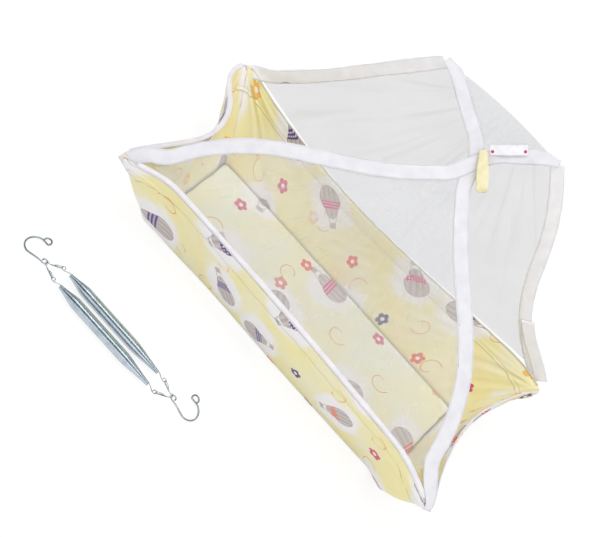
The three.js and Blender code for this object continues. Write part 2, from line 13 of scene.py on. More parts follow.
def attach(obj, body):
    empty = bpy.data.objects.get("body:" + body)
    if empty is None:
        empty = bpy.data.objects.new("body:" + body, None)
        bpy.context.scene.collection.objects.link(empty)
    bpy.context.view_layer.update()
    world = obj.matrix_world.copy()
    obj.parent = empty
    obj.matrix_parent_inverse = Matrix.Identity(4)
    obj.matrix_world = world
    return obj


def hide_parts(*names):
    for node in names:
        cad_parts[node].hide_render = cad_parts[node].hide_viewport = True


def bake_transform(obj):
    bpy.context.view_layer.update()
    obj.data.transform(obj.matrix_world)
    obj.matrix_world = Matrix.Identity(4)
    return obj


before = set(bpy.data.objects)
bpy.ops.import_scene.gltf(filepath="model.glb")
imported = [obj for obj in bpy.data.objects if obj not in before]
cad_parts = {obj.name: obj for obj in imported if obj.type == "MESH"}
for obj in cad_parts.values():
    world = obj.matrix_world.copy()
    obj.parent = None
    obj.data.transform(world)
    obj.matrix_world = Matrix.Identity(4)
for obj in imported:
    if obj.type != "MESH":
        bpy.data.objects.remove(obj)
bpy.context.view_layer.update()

MM = 0.001
GAP = 0.3  # between two pieces of wire, and at a wall's ends

scene = bpy.context.scene
scene.view_settings.view_transform = "Standard"


def vec(*values):
    return np.array(values, float)


def xyz(*values):
    """Points or pairs from arrays or numbers for each axis."""
    return np.stack(np.broadcast_arrays(*values), axis=-1)


def arch(share):
    """0 at both ends and 1 half way."""
    return np.sin(math.pi * share)


def unit(v):
    v = np.asarray(v, float)
    return v / np.linalg.norm(v, axis=-1, keepdims=True)


def linear(colour):
    """A hex colour as a linear one."""
    values = [int(colour[k : k + 2], 16) / 255 for k in (0, 2, 4)]
    return (*[c / 12.92 if c <= 0.04045 else ((c + 0.055) / 1.055) ** 2.4 for c in values], 1)


# ---------------------------------------------------------------- node trees


def math_node(operation):
    """A method that adds a Math node to the tree of its first value."""
    return lambda self, *values: self.graph.math(operation, self, *values)


class Out:
    """A node's output. Arithmetic on it adds Math nodes."""

    __add__, __sub__, __mul__ = map(math_node, ("ADD", "SUBTRACT", "MULTIPLY"))
    __truediv__, __pow__, __abs__ = map(math_node, ("DIVIDE", "POWER", "ABSOLUTE"))
    sine, max, min, pingpong = map(math_node, ("SINE", "MAXIMUM", "MINIMUM", "PINGPONG"))

    def __init__(self, graph, socket):
        self.graph = graph
        self.socket = socket

    def __rsub__(self, other):
        return self.graph.math("SUBTRACT", other, self)


class Graph:
    """The node tree of a new material or world, with short names for the nodes that it needs."""

    def __init__(self, owner):
        owner.use_nodes = True
        self.owner = owner
        self.tree = owner.node_tree
        self.tree.nodes.clear()

    def node(self, kind, inputs=(), **settings):
        """A node. The inputs are a list in the node's order, or a dictionary."""
        node = self.tree.nodes.new("ShaderNode" + kind)
        for key, value in settings.items():
            setattr(node, key, value)
        for key, value in inputs.items() if isinstance(inputs, dict) else enumerate(inputs):
            if isinstance(value, Out):
                self.tree.links.new(value.socket, node.inputs[key])
            else:
                node.inputs[key].default_value = linear(value) if isinstance(value, str) else value
        return node

    def out(self, kind, inputs=(), out=0, **settings):
        return Out(self, self.node(kind, inputs, **settings).outputs[out])

    def three(self, kind, value):
        return [Out(self, socket) for socket in self.node(kind, [value]).outputs[:3]]

    def math(self, operation, *values, **settings):
        return self.out("Math", values, operation=operation, **settings)

    def vector(self, operation, *values, out=0):
        return self.out("VectorMath", values, out, operation=operation)

    def length(self, vector):
        return self.vector("LENGTH", vector, out="Value")

    def scaled(self, vector, scale):
        return self.out("VectorMath", {0: vector, "Scale": scale}, operation="SCALE")

    def turned(self, vector, angle):
        inputs = {"Vector": vector, "Angle": angle}
        return self.out("VectorRotate", inputs, rotation_type="Z_AXIS")

    def split(self, vector):
        return self.three("SeparateXYZ", vector)

    def channels(self, colour):
        return self.three("SeparateColor", colour)

    def angle(self, vector):
        x, y, _ = self.split(vector)
        return self.math("ARCTAN2", y, x)

    def uv(self, name):
        return self.out("UVMap", uv_map=name)

    def ray(self, kind):
        return self.out("LightPath", out=f"Is {kind} Ray")

    def smooth(self, value, low, high):
        """0 at low and 1 at high, whichever of the two is the higher."""
        inputs = {"Value": value, "From Min": low, "From Max": high}
        return self.out("MapRange", inputs, interpolation_type="SMOOTHSTEP")

    def mix(self, factor, a, b):
        return self.out("Mix", {0: factor, 6: a, 7: b}, 2, data_type="RGBA")

    def noise(self, vector, scale, detail=2.0, roughness=0.5):
        inputs = {"Vector": vector, "Scale": scale, "Detail": detail, "Roughness": roughness}
        return self.out("TexNoise", inputs, "Fac")

    def cells(self, vector, size, jitter):
        """Cells of a size: the vector from a cell's middle, that middle, and a random colour."""
        inputs = {"Vector": vector, "Scale": 1 / size, "Randomness": jitter}
        node = self.node("TexVoronoi", inputs, voronoi_dimensions="2D", feature="F1")
        middle, colour = (Out(self, node.outputs[key]) for key in ("Position", "Color"))
        return self.vector("SUBTRACT", vector, middle), middle, colour

    def steps(self, value, stops):
        """The colour of the last stop at or below a value."""
        node = self.node("ValToRGB", [value])
        ramp = node.color_ramp
        ramp.interpolation = "CONSTANT"
        while len(ramp.elements) < len(stops):
            ramp.elements.new(0.5)
        for element, (position, colour) in zip(ramp.elements, stops):
            element.position = position
            element.color = linear(colour)
        return Out(self, node.outputs[0])

    def bump(self, height, strength, distance):
        return self.out("Bump", {"Height": height, "Strength": strength, "Distance": distance})

    def finish(self, shader, kind="Material"):
        self.node("Output" + kind, {"Surface": shader})
        return self.owner

    def principled(self, **values):
        inputs = {key.replace("_", " "): value for key, value in values.items()}
        return self.finish(self.out("BsdfPrincipled", inputs))


def new_material(name):
    return Graph(bpy.data.materials.new(name))


# ---------------------------------------------------------------- camera, lamps and stage

WHITE = "ffffff"
ROOM_LIGHT = 0.7
FLOOR_GLOW = 0.8
LAMPS_AIM = (0, 0, 0.1)
FLOOR_HALF = 9
FLOOR_DROP = 0.0015


def place_object(name, data, right, up, back, place):
    thing = bpy.data.objects.new(name, data)
    rows = [(right[i], up[i], back[i], place[i]) for i in range(3)]
    thing.matrix_world = Matrix([*rows, (0, 0, 0, 1)])
    scene.collection.objects.link(thing)
    return thing


def add_camera():
    """The camera that fits the photograph."""
    data = bpy.data.cameras.new("camera")
    data.sensor_width = 36
    data.lens = 90
    data.clip_end = 30
    right = (0.67138, 0.57006, 0.47359)
    up = (-0.73988, 0.47867, 0.4727)
    back = (0.04278, -0.66776, 0.74314)
    place = (0.055993, -2.076546, 2.428376)
    scene.camera = place_object("camera", data, right, up, back, place)


def add_light(name, size, power, place):
    data = bpy.data.lights.new(name, "AREA")
    data.shape = "DISK"
    data.size = size
    data.energy = power
    back = unit(np.subtract(place, LAMPS_AIM))
    side = unit(np.cross((0, 0, 1), back))
    place_object(name, data, side, np.cross(back, side), back, place)


def add_world():
    """White to the camera. Metal sees white on one side, teal on the other, a dark line between."""
    world = bpy.data.worlds.new("room")
    scene.world = world
    g = Graph(world)
    _, back, up = g.split(g.out("TexCoord", out="Generated"))
    reflected = g.mix(g.smooth(back, -0.5, 0.35), "f0f0fa", "709297")
    away = abs(g.math("ARCTAN2", up, back) - 2.0)
    reflected = g.mix(g.smooth(away, 0.5, 0.27), reflected, "183238")
    plain = g.out("Background", {"Color": WHITE, "Strength": ROOM_LIGHT})
    white = g.out("Background", {"Color": WHITE})
    mirror = g.out("Background", {"Color": reflected})
    unseen = g.out("MixShader", [g.ray("Glossy"), plain, mirror])
    seen = g.ray("Camera").max(g.ray("Transmission"))
    g.finish(g.out("MixShader", [seen, unseen, white]), "World")


def add_floor():
    """A pale floor that is white in the picture but keeps a faint shadow."""
    mesh = bpy.data.meshes.new("floor")
    corners = [(FLOOR_HALF * x, FLOOR_HALF * y, 0) for x, y in ((-1, -1), (1, -1), (1, 1), (-1, 1))]
    mesh.from_pydata(corners, [], [(0, 1, 2, 3)])
    floor = bpy.data.objects.new("floor", mesh)
    floor.location.z = -FLOOR_DROP
    scene.collection.objects.link(floor)
    g = new_material("floor")
    grain = g.noise(g.out("TexCoord", out="Object"), 40, 4)
    pale = g.mix(grain, (0.84, 0.84, 0.85, 1), (0.87, 0.87, 0.87, 1))
    grey = g.mix(grain, (0.24, 0.24, 0.24, 1), (0.26, 0.26, 0.26, 1))
    shade, glow = g.out("BsdfDiffuse", [grey]), g.out("Emission", {"Strength": FLOOR_GLOW})
    seen = g.ray("Camera").max(g.ray("Glossy")).max(g.ray("Transmission"))
    both = g.out("AddShader", [shade, glow])
    mesh.materials.append(g.finish(g.out("MixShader", [seen, g.out("BsdfDiffuse", [pale]), both])))


add_camera()
add_world()
add_floor()
add_light("key", 1.8, 23, (-0.2, 0.1, 2.8))
add_light("fill", 2.0, 9, (0.5, -1.9, 1.5))

# ---------------------------------------------------------------- materials

THREAD_PITCH = 0.0011
NET_PITCH = 0.0016
STITCH_PITCH = 0.0016
STITCH_INSET = 0.0024
CLOTH_HEIGHT = 0.205  # of a wall, flat
SEAM_HEIGHT = 0.815 * CLOTH_HEIGHT
CLOUD_CELL, CLOUD_JITTER = 0.205, 0.45
FLOWER_CELL, FLOWER_JITTER = 0.132, 0.55
CURL_CELL, CURL_JITTER = 0.17, 0.6
FLOWER_SHIFT = (0.037, 0.081, 0)
CURL_SHIFT = (0.121, 0.033, 0)
SPOT_CELL, SPOT_JITTER = 0.017, 0.5


def weave(g, flat):
    """A plain weave's height, from 0 to 1: two sets of threads that cross."""
    x, y, _ = g.split(g.scaled(flat, math.tau / THREAD_PITCH))
    return abs(x.sine()) * abs(y.sine())


def balloon(g, local, tint):
    """The masks of a hot-air balloon 99 mm high: its shape, outline, belt, dots and gores."""
    x, y, _ = g.split(g.scaled(local, 600))

    def ellipse(high, wide, tall):
        return 1.0 - ((x / wide) ** 2.0 + ((y - high) / tall) ** 2.0)

    body = ellipse(8, 18.5, 19).max(ellipse(-4, 12, 16))
    basket = (5.5 - abs(x)).min(3.6 - abs(y + 29.0)) * 0.12
    rope = 0.55 - abs(abs(x) - ((y + 26.0) * 0.32 + 4.6))
    ropes = rope.min(4.0 - abs(y + 22.0)) * 0.1
    shape = body.max(basket.max(ropes))
    whole = g.smooth(shape, -0.02, 0.02)
    rim = whole * g.smooth(shape, 0.14, 0.05)
    belt = g.smooth(6.0 - abs(y + tint * 6.0), -0.3, 0.3) * g.smooth(body, 0.0, 0.04)
    dots = g.smooth((x + 2.1).pingpong(2.1) ** 2.0 + (y + 2.1).pingpong(2.1) ** 2.0, 1.5, 1.0)
    return whole, rim, belt, dots, g.smooth(x.pingpong(4.6), 0.2, 4.4)


def print_colour(g, flat, pale):
    """Soft clouds with balloons on a pale yellow, and flowers and curls between them."""
    warm, cool = "f9f0b4", "f8f2ce"
    # Painted light: the pale colours are a brighter copy of the print, which makes up for the shade
    # the nets cast on the bed
    if pale:
        warm, cool = "f7f3cc", "f3f4de"
    colour = g.mix(g.smooth(g.noise(flat, 9, 3), 0.35, 0.65), warm, cool)
    blush = g.smooth(g.noise(flat, 5.3, 2), 0.56, 0.72)
    colour = g.mix(blush * (0.2 if pale else 0.45), colour, "f9dea8")

    local, _, chance = g.cells(flat, CLOUD_CELL, CLOUD_JITTER)
    red, green, blue = g.channels(chance)
    ragged = (g.noise(flat, 24, 3) - 0.5) * 0.05
    cloud = g.smooth(g.length(local) + ragged, 0.076, 0.05)
    colour = g.mix(cloud, colour, "faf8fa")

    upright = g.turned(local, (red - 0.5) * 5.0)
    whole, rim, belt, dots, gores = balloon(g, upright, green)
    taupe = g.mix(gores, "bcb1b0", "d8d0d0")
    taupe = g.mix(g.noise(flat, 150, 3) * 0.25, taupe, "ac9c98")
    stops = [(0, "d63080"), (0.36, "e45430"), (0.68, "5c428c")]
    dotted = g.mix(dots, g.steps(blue, stops), "fcf6f6")
    figure = g.mix(rim * 0.55, g.mix(belt, taupe, dotted), "8c7c7a")
    colour = g.mix(whole, colour, figure)

    petal, heart, chance = g.cells(g.vector("ADD", flat, FLOWER_SHIFT), FLOWER_CELL, FLOWER_JITTER)
    red, _, blue = g.channels(chance)
    petal = g.turned(petal, red * 6.0)
    lobe = abs(g.math("COSINE", g.angle(petal) * 2.5))
    radius = g.length(petal)
    flower = g.smooth(lobe**0.55 * 0.0068 + 0.0094 - radius, -0.0004, 0.0004)
    place = g.vector("SUBTRACT", heart, FLOWER_SHIFT)
    from_cloud, _, _ = g.cells(place, CLOUD_CELL, CLOUD_JITTER)
    clear = g.smooth(g.length(from_cloud), 0.064, 0.068)
    stops = [(0, "ec5c28"), (0.24, "543a84"), (0.46, "d8547a")]
    stops += [(0.66, "f6c46e"), (0.84, "e2624c")]
    petals = g.mix(g.smooth(radius, 0.0054, 0.0045), g.steps(blue, stops), "fcf6f0")
    colour = g.mix(flower * clear, colour, petals)

    curl, _, chance = g.cells(g.vector("ADD", flat, CURL_SHIFT), CURL_CELL, CURL_JITTER)
    _, green, _ = g.channels(chance)
    curl = g.turned(curl, green * 6.0)
    angle = g.angle(curl)
    line = abs(g.length(curl) - (angle * 0.0031 + 0.0165))
    line = g.smooth(line, 0.0011, 0.0006) * g.smooth(angle, -1.9, -1.6)
    line = line * (1.0 - cloud.max(flower))
    return g.mix(line, colour, "e88054")


def make_print(name, offset, crumple, pale=False, foot_shade=0.0):
    """Printed cotton. Its print, weave and fine creases follow the cloth's flat coordinates."""
    g = new_material(name)
    flat = g.uv("flat")
    threads = weave(g, flat)
    height = threads * 0.05 + g.noise(flat, 26, 5, 0.6) * crumple
    colour = print_colour(g, g.vector("ADD", flat, offset), pale)
    if not pale:
        _, up, _ = g.split(flat)
        dash = g.smooth(g.noise(flat, 90, 2), 0.3, 0.5)
        line = g.smooth(abs(up - SEAM_HEIGHT), 0.0018, 0.0006) * (dash * 0.3 + 0.2)
        colour = g.mix(line, colour, "ac9c64")
        # Painted shade: a darker band along the foot of the inside walls, where they meet the pad
        foot = g.smooth(up, 0.031, 0.02) * foot_shade
        colour = g.mix(foot, colour, "888464")
    colour = g.mix((1.0 - threads) * 0.06, colour, "c4b882")
    return g.principled(
        Base_Color=colour,
        Roughness=threads * 0.1 + 0.82,
        Normal=g.bump(height, 0.55, 0.003),
        Sheen_Weight=0.15,
        Sheen_Roughness=0.6,
    )


def make_tape(name, width, light, dark):
    """Woven white tape, with a row of stitches along each edge."""
    g = new_material(name)
    flat = g.uv("flat")
    x, y, _ = g.split(flat)
    ribs = abs(((x + y) * 3200.0).sine())
    row = g.smooth(abs(x.min(width - x) - STITCH_INSET), 0.0006, 0.0003)
    stitch = row * g.smooth(y.pingpong(STITCH_PITCH), 0.0002, 0.0005)
    colour = g.mix(g.smooth(g.noise(flat, 30, 4), 0.35, 0.7), light, dark)
    colour = g.mix(stitch * 0.35, colour, "bebcc4")
    height = ribs * 0.06 + stitch * -0.35 + g.noise(flat, 60, 3) * 0.6
    return g.principled(
        Base_Color=colour,
        Roughness=ribs * 0.1 + 0.74,
        Normal=g.bump(height, 0.5, 0.002),
        Sheen_Weight=0.1,
    )


def make_net(name, cover, light, dark):
    """Fine net: threads round small holes, closer in the gathers that fan out from one point."""
    g = new_material(name)
    flat, fan = g.uv("flat"), g.uv("fan")
    x, y, _ = g.split(g.scaled(flat, math.pi / NET_PITCH))
    threads = g.smooth(abs(x.sine() * y.sine()), 0.75, 0.25)
    cloudy = g.noise(flat, 7, 3)
    _, away, _ = g.split(fan)
    gathers = g.noise(g.vector("MULTIPLY", fan, (11, 2.6, 1)), 1)
    gathers = g.smooth(gathers, 0.5, 0.76) * g.smooth(away, 0.03, 0.14)
    alpha = threads * 0.12 + (cover - 0.09) + gathers * 0.08
    return g.principled(
        Base_Color=g.mix(cloudy, light, dark),
        Roughness=threads * 0.1 + 0.7,
        Alpha=g.math("ADD", alpha, (cloudy - 0.5) * 0.1, use_clamp=True),
        Normal=g.bump(threads, 0.15, 0.0005),
    )


def make_steel(name, light, dark, roughness, relief):
    """Drawn wire with a fine grain and faint patches."""
    g = new_material(name)
    place = g.out("TexCoord", out="Object")
    grain = g.noise(place, 900, 3)
    return g.principled(
        Base_Color=g.mix(g.smooth(g.noise(place, 60, 4), 0.35, 0.7), light, dark),
        Metallic=1.0,
        Roughness=grain * 0.12 + roughness,
        Normal=g.bump(grain, relief, 0.0003),
    )


def make_board():
    """Bare fibre board."""
    g = new_material("fibre_board")
    place = g.out("TexCoord", out="Object")
    fibres = g.noise(g.vector("MULTIPLY", place, (6, 60, 60)), 12, 5, 0.7)
    colour = g.mix(fibres, "c4a87a", "a08258")
    return g.principled(Base_Color=colour, Roughness=0.85, Normal=g.bump(fibres, 0.2, 0.001))


def make_loop_cloth(name, light, dark, spots=False):
    """Plain cloth for the loop, and with spots for its tail."""
    g = new_material(name)
    flat = g.uv("flat")
    threads = weave(g, flat)
    colour = g.mix(g.smooth(g.noise(flat, 60, 3), 0.4, 0.65), light, dark)
    if spots:
        local, _, chance = g.cells(flat, SPOT_CELL, SPOT_JITTER)
        spot = g.smooth(g.length(local), 0.0036, 0.003)
        red, _, _ = g.channels(chance)
        colour = g.mix(spot * g.smooth(red, 0.7, 0.72), colour, "c43c70")
    return g.principled(
        Base_Color=colour,
        Roughness=threads * 0.1 + 0.82,
        Normal=g.bump(threads * 0.1 + g.noise(flat, 90, 3), 0.4, 0.001),
        Sheen_Weight=0.15,
    )


OUTSIDE = make_print("print_outside", (0.031, 0.0, 0), 0.75)
# The inside print has painted shade along its foot
INSIDE = make_print("print_inside", (0.412, 0.277, 0), 0.4, foot_shade=0.6)
# The bed takes the pale, brighter copy of the print: painted light
BED_PRINT_BRIGHTENED = make_print("print_bed_brightened", (0.905, 0.511, 0), 0.55, True)
UNDER = make_print("print_under", (1.7, 0.9, 0), 0.3, True)
TAPE = make_tape("white_tape", 0.031, "ebeaef", "e3e2e8")
# A brighter copy of the white tape for the far bands and the slack fold: painted light, where these
# bands lie in shade
FAR_TAPE_LIT = make_tape("far_tape_painted_light", 0.031, "fcfbfd", "f6f5f9")
FAR_CORD = make_tape("far_cord", 0.010, "e2dfd6", "d6d2c8")
HEM_TAPE = make_tape("hem_tape", 0.010, "f4f1f4", "ece8ee")
NEAR_NET = make_net("near_net", 0.28, "e2e3e8", "d6d7dd")
# The far net is a darker copy of the same net: painted shade
FAR_NET_SHADED = make_net("far_net", 0.36, "a8a9b1", "9899a2")
BRIGHT = make_steel("bright_steel", "c4ccd2", "b0bcc3", 0.16, 0.12)
WIRE = make_steel("wire_steel", "ced1d4", "a0a5a8", 0.3, 0.2)
BOARD = make_board()
LOOP = make_loop_cloth("loop_cloth", "f1e9c4", "eae0b2")
TAIL = make_loop_cloth("tail_cloth", "f4f3f6", "eceaee", True)

# ---------------------------------------------------------------- mesh helpers

SINES = 6


def smoothstep(x, low, high):
    t = np.clip((x - low) / (high - low), 0, 1)
    return t * t * (3 - 2 * t)


def bell(x, middle, width):
    """1 at the middle, falling off on both sides."""
    return np.exp(-(((x - middle) / width) ** 2))


def waves(x, y, seed, wavelength, stretch=1.0):
    """A soft random height of about -1 to 1: sines about one wavelength long, stretched in y."""
    chance = random.Random(seed)
    total = np.zeros(np.broadcast(x, y).shape)
    for _ in range(SINES):
        angle = chance.uniform(0, math.tau)
        pitch = wavelength * chance.uniform(0.7, 1.5)
        phase = chance.uniform(0, math.tau)
        way = x * math.cos(angle) + y * math.sin(angle) / stretch
        total = total + np.sin(math.tau * way / pitch + phase)
    return total / SINES**0.5 / 1.4


def add_uv(mesh, name, values):
    """A layer of flat coordinates, from one pair for each point."""
    layer = mesh.uv_layers.new(name=name)
    corner = np.empty(len(mesh.loops), int)
    mesh.loops.foreach_get("vertex_index", corner)
    layer.data.foreach_set("uv", values[corner].ravel())


def make_piece(name, points, faces, flat, materials, face_material=None):
    """A mesh in millimetres, with its cloth's flat coordinates in metres."""
    mesh = bpy.data.meshes.new(name)
    mesh.from_pydata((points * MM).tolist(), [], faces)
    add_uv(mesh, "flat", flat)
    for material in materials:
        mesh.materials.append(material)
    if face_material is not None:
        mesh.polygons.foreach_set("material_index", face_material)
    mesh.polygons.foreach_set("use_smooth", [True] * len(mesh.polygons))
    mesh.update()
    piece = bpy.data.objects.new(name, mesh)
    scene.collection.objects.link(piece)
    return piece


def grid_faces(rows, columns, start=0, flip=False):
    faces = []
    for j in range(rows - 1):
        for i in range(columns - 1):
            a = start + j * columns + i
            quad = (a, a + 1, a + columns + 1, a + columns)
            faces.append(quad[::-1] if flip else quad)
    return faces


def closed_sheet(name, front, back, flat, materials):
    """A closed shell between two grids of points. The back takes the last material."""
    rows, columns = front.shape[:2]
    count = rows * columns
    faces = grid_faces(rows, columns)
    split = len(faces)
    faces += grid_faces(rows, columns, count, True)
    grid = np.arange(count).reshape(rows, columns)
    ring = np.concatenate([grid[0], grid[1:, -1], grid[-1, -2::-1], grid[-2:0:-1, 0]]).tolist()
    faces += [(b, a, count + a, count + b) for a, b in zip(ring, ring[1:] + ring[:1])]
    points = np.concatenate([front.reshape(-1, 3), back.reshape(-1, 3)])
    flats = np.concatenate([flat.reshape(-1, 2)] * 2)
    index = [0] * split + [len(materials) - 1] * split + [0] * (len(faces) - 2 * split)
    return make_piece(name, points, faces, flats, materials, index)


def path_steps(points):
    """How far along a path each of its points is."""
    return np.concatenate([[0], np.cumsum(np.linalg.norm(np.diff(points, axis=0), axis=1))])


def heading(path):
    return unit(np.gradient(path, axis=0))


def between(t, a, b, low, high):
    return (high - t) / (high - low) * a + (t - low) / (high - low) * b


def smooth_path(points, count):
    """Points evenly spaced along a centripetal Catmull-Rom curve."""
    points = np.asarray(points, float)
    p = np.vstack([2 * points[0] - points[1], points, 2 * points[-1] - points[-2]])
    dense = []
    for i in range(1, len(p) - 2):
        knots = [0.0]
        for a, b in zip(p[i - 1 : i + 2], p[i : i + 3]):
            knots.append(knots[-1] + max(np.linalg.norm(b - a), 1e-9) ** 0.5)
        t = np.linspace(knots[1], knots[2], 24, endpoint=False)[:, None]
        a = [between(t, p[i - 1 + k], p[i + k], knots[k], knots[k + 1]) for k in range(3)]
        b = [between(t, a[k], a[k + 1], knots[k], knots[k + 2]) for k in range(2)]
        dense.append(between(t, *b, knots[1], knots[2]))
    dense = np.vstack([*dense, points[-1:]])
    steps = path_steps(dense)
    wanted = np.linspace(0, steps[-1], count)
    return np.stack([np.interp(wanted, steps, dense[:, k]) for k in range(3)], axis=1)


def tube_faces(rings, sides):
    faces = []
    for i in range(rings - 1):
        for k in range(sides):
            a, b = i * sides + k, i * sides + (k + 1) % sides
            faces.append((a, b, b + sides, a + sides))
    faces.append(tuple(range(sides))[::-1])
    faces.append(tuple((rings - 1) * sides + k for k in range(sides)))
    return faces


def tube(name, path, radius, sides, material):
    """A closed round bar along a path. The radius is one number or one for each point."""
    radii = radius * np.ones(len(path))
    ahead = heading(path)
    turn = math.tau * np.arange(sides) / sides
    side = np.cross(ahead[0], (0, 0, 1.0))
    points = []
    for i, place in enumerate(path):
        side = unit(side - ahead[i] * side.dot(ahead[i]))
        other = np.cross(ahead[i], side)
        spokes = np.outer(np.cos(turn), side) + np.outer(np.sin(turn), other)
        points.append(place + radii[i] * spokes)
    flat = xyz(radii[:, None] * turn, path_steps(path)[:, None]) * MM
    faces = tube_faces(len(path), sides)
    return make_piece(name, np.concatenate(points), faces, flat.reshape(-1, 2), [material])


def dress(piece, slot, *nodes, body="cradle"):
    """The piece rides on a body and stands for these CAD nodes. The slot is not used."""
    if nodes:
        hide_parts(*nodes)
    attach(piece, body)


# ---------------------------------------------------------------- the tub's walls

BASE_LENGTH = 712
BASE_WIDTH = 256
WALL_FOOT = 2.3
WALL_HEIGHT = 195
WALL = 5
HEM = 9
PIPING_RISE = 2.3  # from a rim up to the middle of its piping
PIPING_REACH = 2.3  # from there to the bands
# Each corner: its sides' signs, the rim's corner, how far out from it the loose tip of cloth
# hangs, how far out the fold below stands half way up, and how round the bend is
CORNERS = {
    "near_left": ((-1, -1), vec(-440, -175, 193), vec(-31, -35, -12), vec(-12, -15, 0), 40),
    "near_right": ((1, -1), vec(408, -204, 195), vec(38, -25, -20), vec(6, -31, 0), 40),
    "far_right": ((1, 1), vec(444, 246, 178), vec(18, -8, -8), vec(3, 3, 0), 50),
    "far_left": ((-1, 1), vec(-472, 224, 182), vec(-22, 8, 6), vec(-4, 2, 0), 70),
}
SIGNS, RIM, EARS, FOLDS, ROUNDING = (
    {corner: row[k] for corner, row in CORNERS.items()} for k in range(5)
)
# Each side: its corners, its outward direction, how far its rim is drawn in, how far it sags,
# where its cloth starts in the print, and how many columns its mesh has
SIDES = {
    "near": ("near_left", "near_right", vec(0, -1, 0), 6, 0, 0.0, 190),
    "far": ("far_right", "far_left", vec(0, 1, 0), 46, 0, 1.1, 190),
    "left": ("far_left", "near_left", vec(-1, 0, 0), 50, 8, 2.3, 110),
    "right": ("near_right", "far_right", vec(1, 0, 0), 34, 8, 3.4, 110),
}
FAR_SKEW = 8
# How far the near wall's foot is tucked in, left of the middle
NEAR_TUCK = 4.6


def hem_shape(share):
    """Outward bulge and thickness at each level: a crease under the turned hem, then its tube."""
    swell = arch(np.clip((share - 0.845) / 0.155, 0, 1)) ** 0.5
    crease = bell(share, 0.84, 0.011)
    thickness = WALL + (HEM - WALL) * swell - 3.0 * crease
    return 2.6 * swell - 1.8 * crease, thickness * (1 - 0.55 * smoothstep(share, 0.975, 1.0))


def corner_line(corner, share, inset):
    sign = SIGNS[corner]
    bottom = vec(sign[0] * BASE_LENGTH / 2, sign[1] * BASE_WIDTH / 2, WALL_FOOT)
    point = bottom + (RIM[corner] - bottom) * share[..., None]
    bulge, _ = hem_shape(share)
    point[..., 0] += sign[0] * (bulge - inset)
    point[..., 1] += sign[1] * (bulge - inset)
    return point


def wall_detail(name, along, share, length):
    """How far the cloth stands out: soft waves, drags, puckers at the seam, corner gathers."""
    seed = sum(map(ord, name))
    up = share * WALL_HEIGHT
    free = arch(along / length) ** 0.5 * arch(share) ** 0.7
    out = 1.5 * free * waves(along, up, seed, 95, stretch=0.8)
    out = out + 0.8 * free * waves(along, up, seed + 1, 34)
    out = out + 1.6 * bell(share, 0.76, 0.07) * free * waves(along, up * 2, seed + 2, 60)
    pucker = np.exp(-(up / 16)) * smoothstep(up, 0, 4) * waves(along, 0, seed + 3, 24)
    out = out + 1.1 * pucker * smoothstep(along, 0, 20) * smoothstep(length - along, 0, 20)
    fall = WALL_HEIGHT * (1 - share)
    for k, distance in enumerate((along, length - along)):
        angle = np.arctan2(fall + 4, distance + 4)
        folds = np.sin(angle * (15 + 2 * k) + seed + k) * 0.7
        folds = folds + 0.5 * np.sin(angle * 27 + 2 * seed)
        reach = np.exp(-(np.hypot(distance, fall) / 85))
        reach = reach * smoothstep(distance, 2, 26) * smoothstep(fall, 3, 22)
        out = out + 5.0 * reach * folds
    return out


def side_ends(name, along, length):
    """For each end of a side: its corner, the distance from it and the way into the side."""
    start, end = SIDES[name][:2]
    ahead = unit(RIM[end] - RIM[start])
    return (start, along, ahead), (end, length - along, -ahead)


def ear(name, along, share, length):
    """How far the loose corner tips pull the cloth."""
    pull = np.clip(share / 0.93, 0, 1)[..., None] ** 1.15
    bulge = arch(share**0.7)[..., None]
    move = 0
    for corner, distance, _ in side_ends(name, along, length):
        near_it = bell(distance, 0, 50)[..., None]
        move = move + (EARS[corner] * pull + FOLDS[corner] * bulge) * near_it
    return move


def rim_bow(name, u):
    """How far a side's rim is drawn in from the straight line between its corners."""
    bow = SIDES[name][3] * arch(u)
    if name == "far":
        return bow - FAR_SKEW * np.sin(math.tau * u)
    if name == "left":
        return bow * arch(u) - 26 * bell(u, 0.17, 0.1)
    return bow * arch(u)


def rounding(name, along, share, length):
    """Turns the corner between two walls in a round bend, which starts above the base."""
    move = 0
    for corner, distance, way in side_ends(name, along, length):
        radius = ROUNDING[corner] * smoothstep(share, 0, 0.35)
        radius = radius * (1 - 0.35 * smoothstep(share, 0.75, 1))
        turn = np.clip(1 - distance / np.maximum(radius, 1e-6), 0, 1) * math.pi / 4
        inside = distance < radius
        slide = np.where(inside, radius * (1 - np.sin(turn)) - distance, 0)
        draw = np.where(inside, radius * (1 - np.cos(turn)), 0)
        move = move + way * slide[..., None] - SIDES[name][2] * draw[..., None]
    return move


def wall_points(name, u, share, inset):
    """Points of a wall, u along it and share up it, this far inside its outer face."""
    start, end, out, _, sag = SIDES[name][:5]
    a, b = corner_line(start, share, inset), corner_line(end, share, inset)
    length = float(np.linalg.norm(RIM[end] - RIM[start]))
    shorten = GAP * 0.7071 / length
    along = u * length
    point = a + (b - a) * (shorten + u * (1 - 2 * shorten))[..., None]
    point = point + rounding(name, along, share, length)
    push = 6 * arch(u) * arch(share) + 5 * arch(u) * arch(6 * u) * share * (1 - share)
    push = push - rim_bow(name, u) * share**2 + wall_detail(name, along, share, length)
    if name == "near":
        push = push - NEAR_TUCK * bell(u, 0.28, 0.18) * (1 - share)
    point = point + out * push[..., None] + ear(name, along, share, length)
    point[..., 2] -= sag * arch(u) ** 2 * share**2
    return point, length


def rim_points(name, u):
    """Points along the middle of a wall's top."""
    return wall_points(name, u, np.ones_like(u), np.full_like(u, WALL / 2))


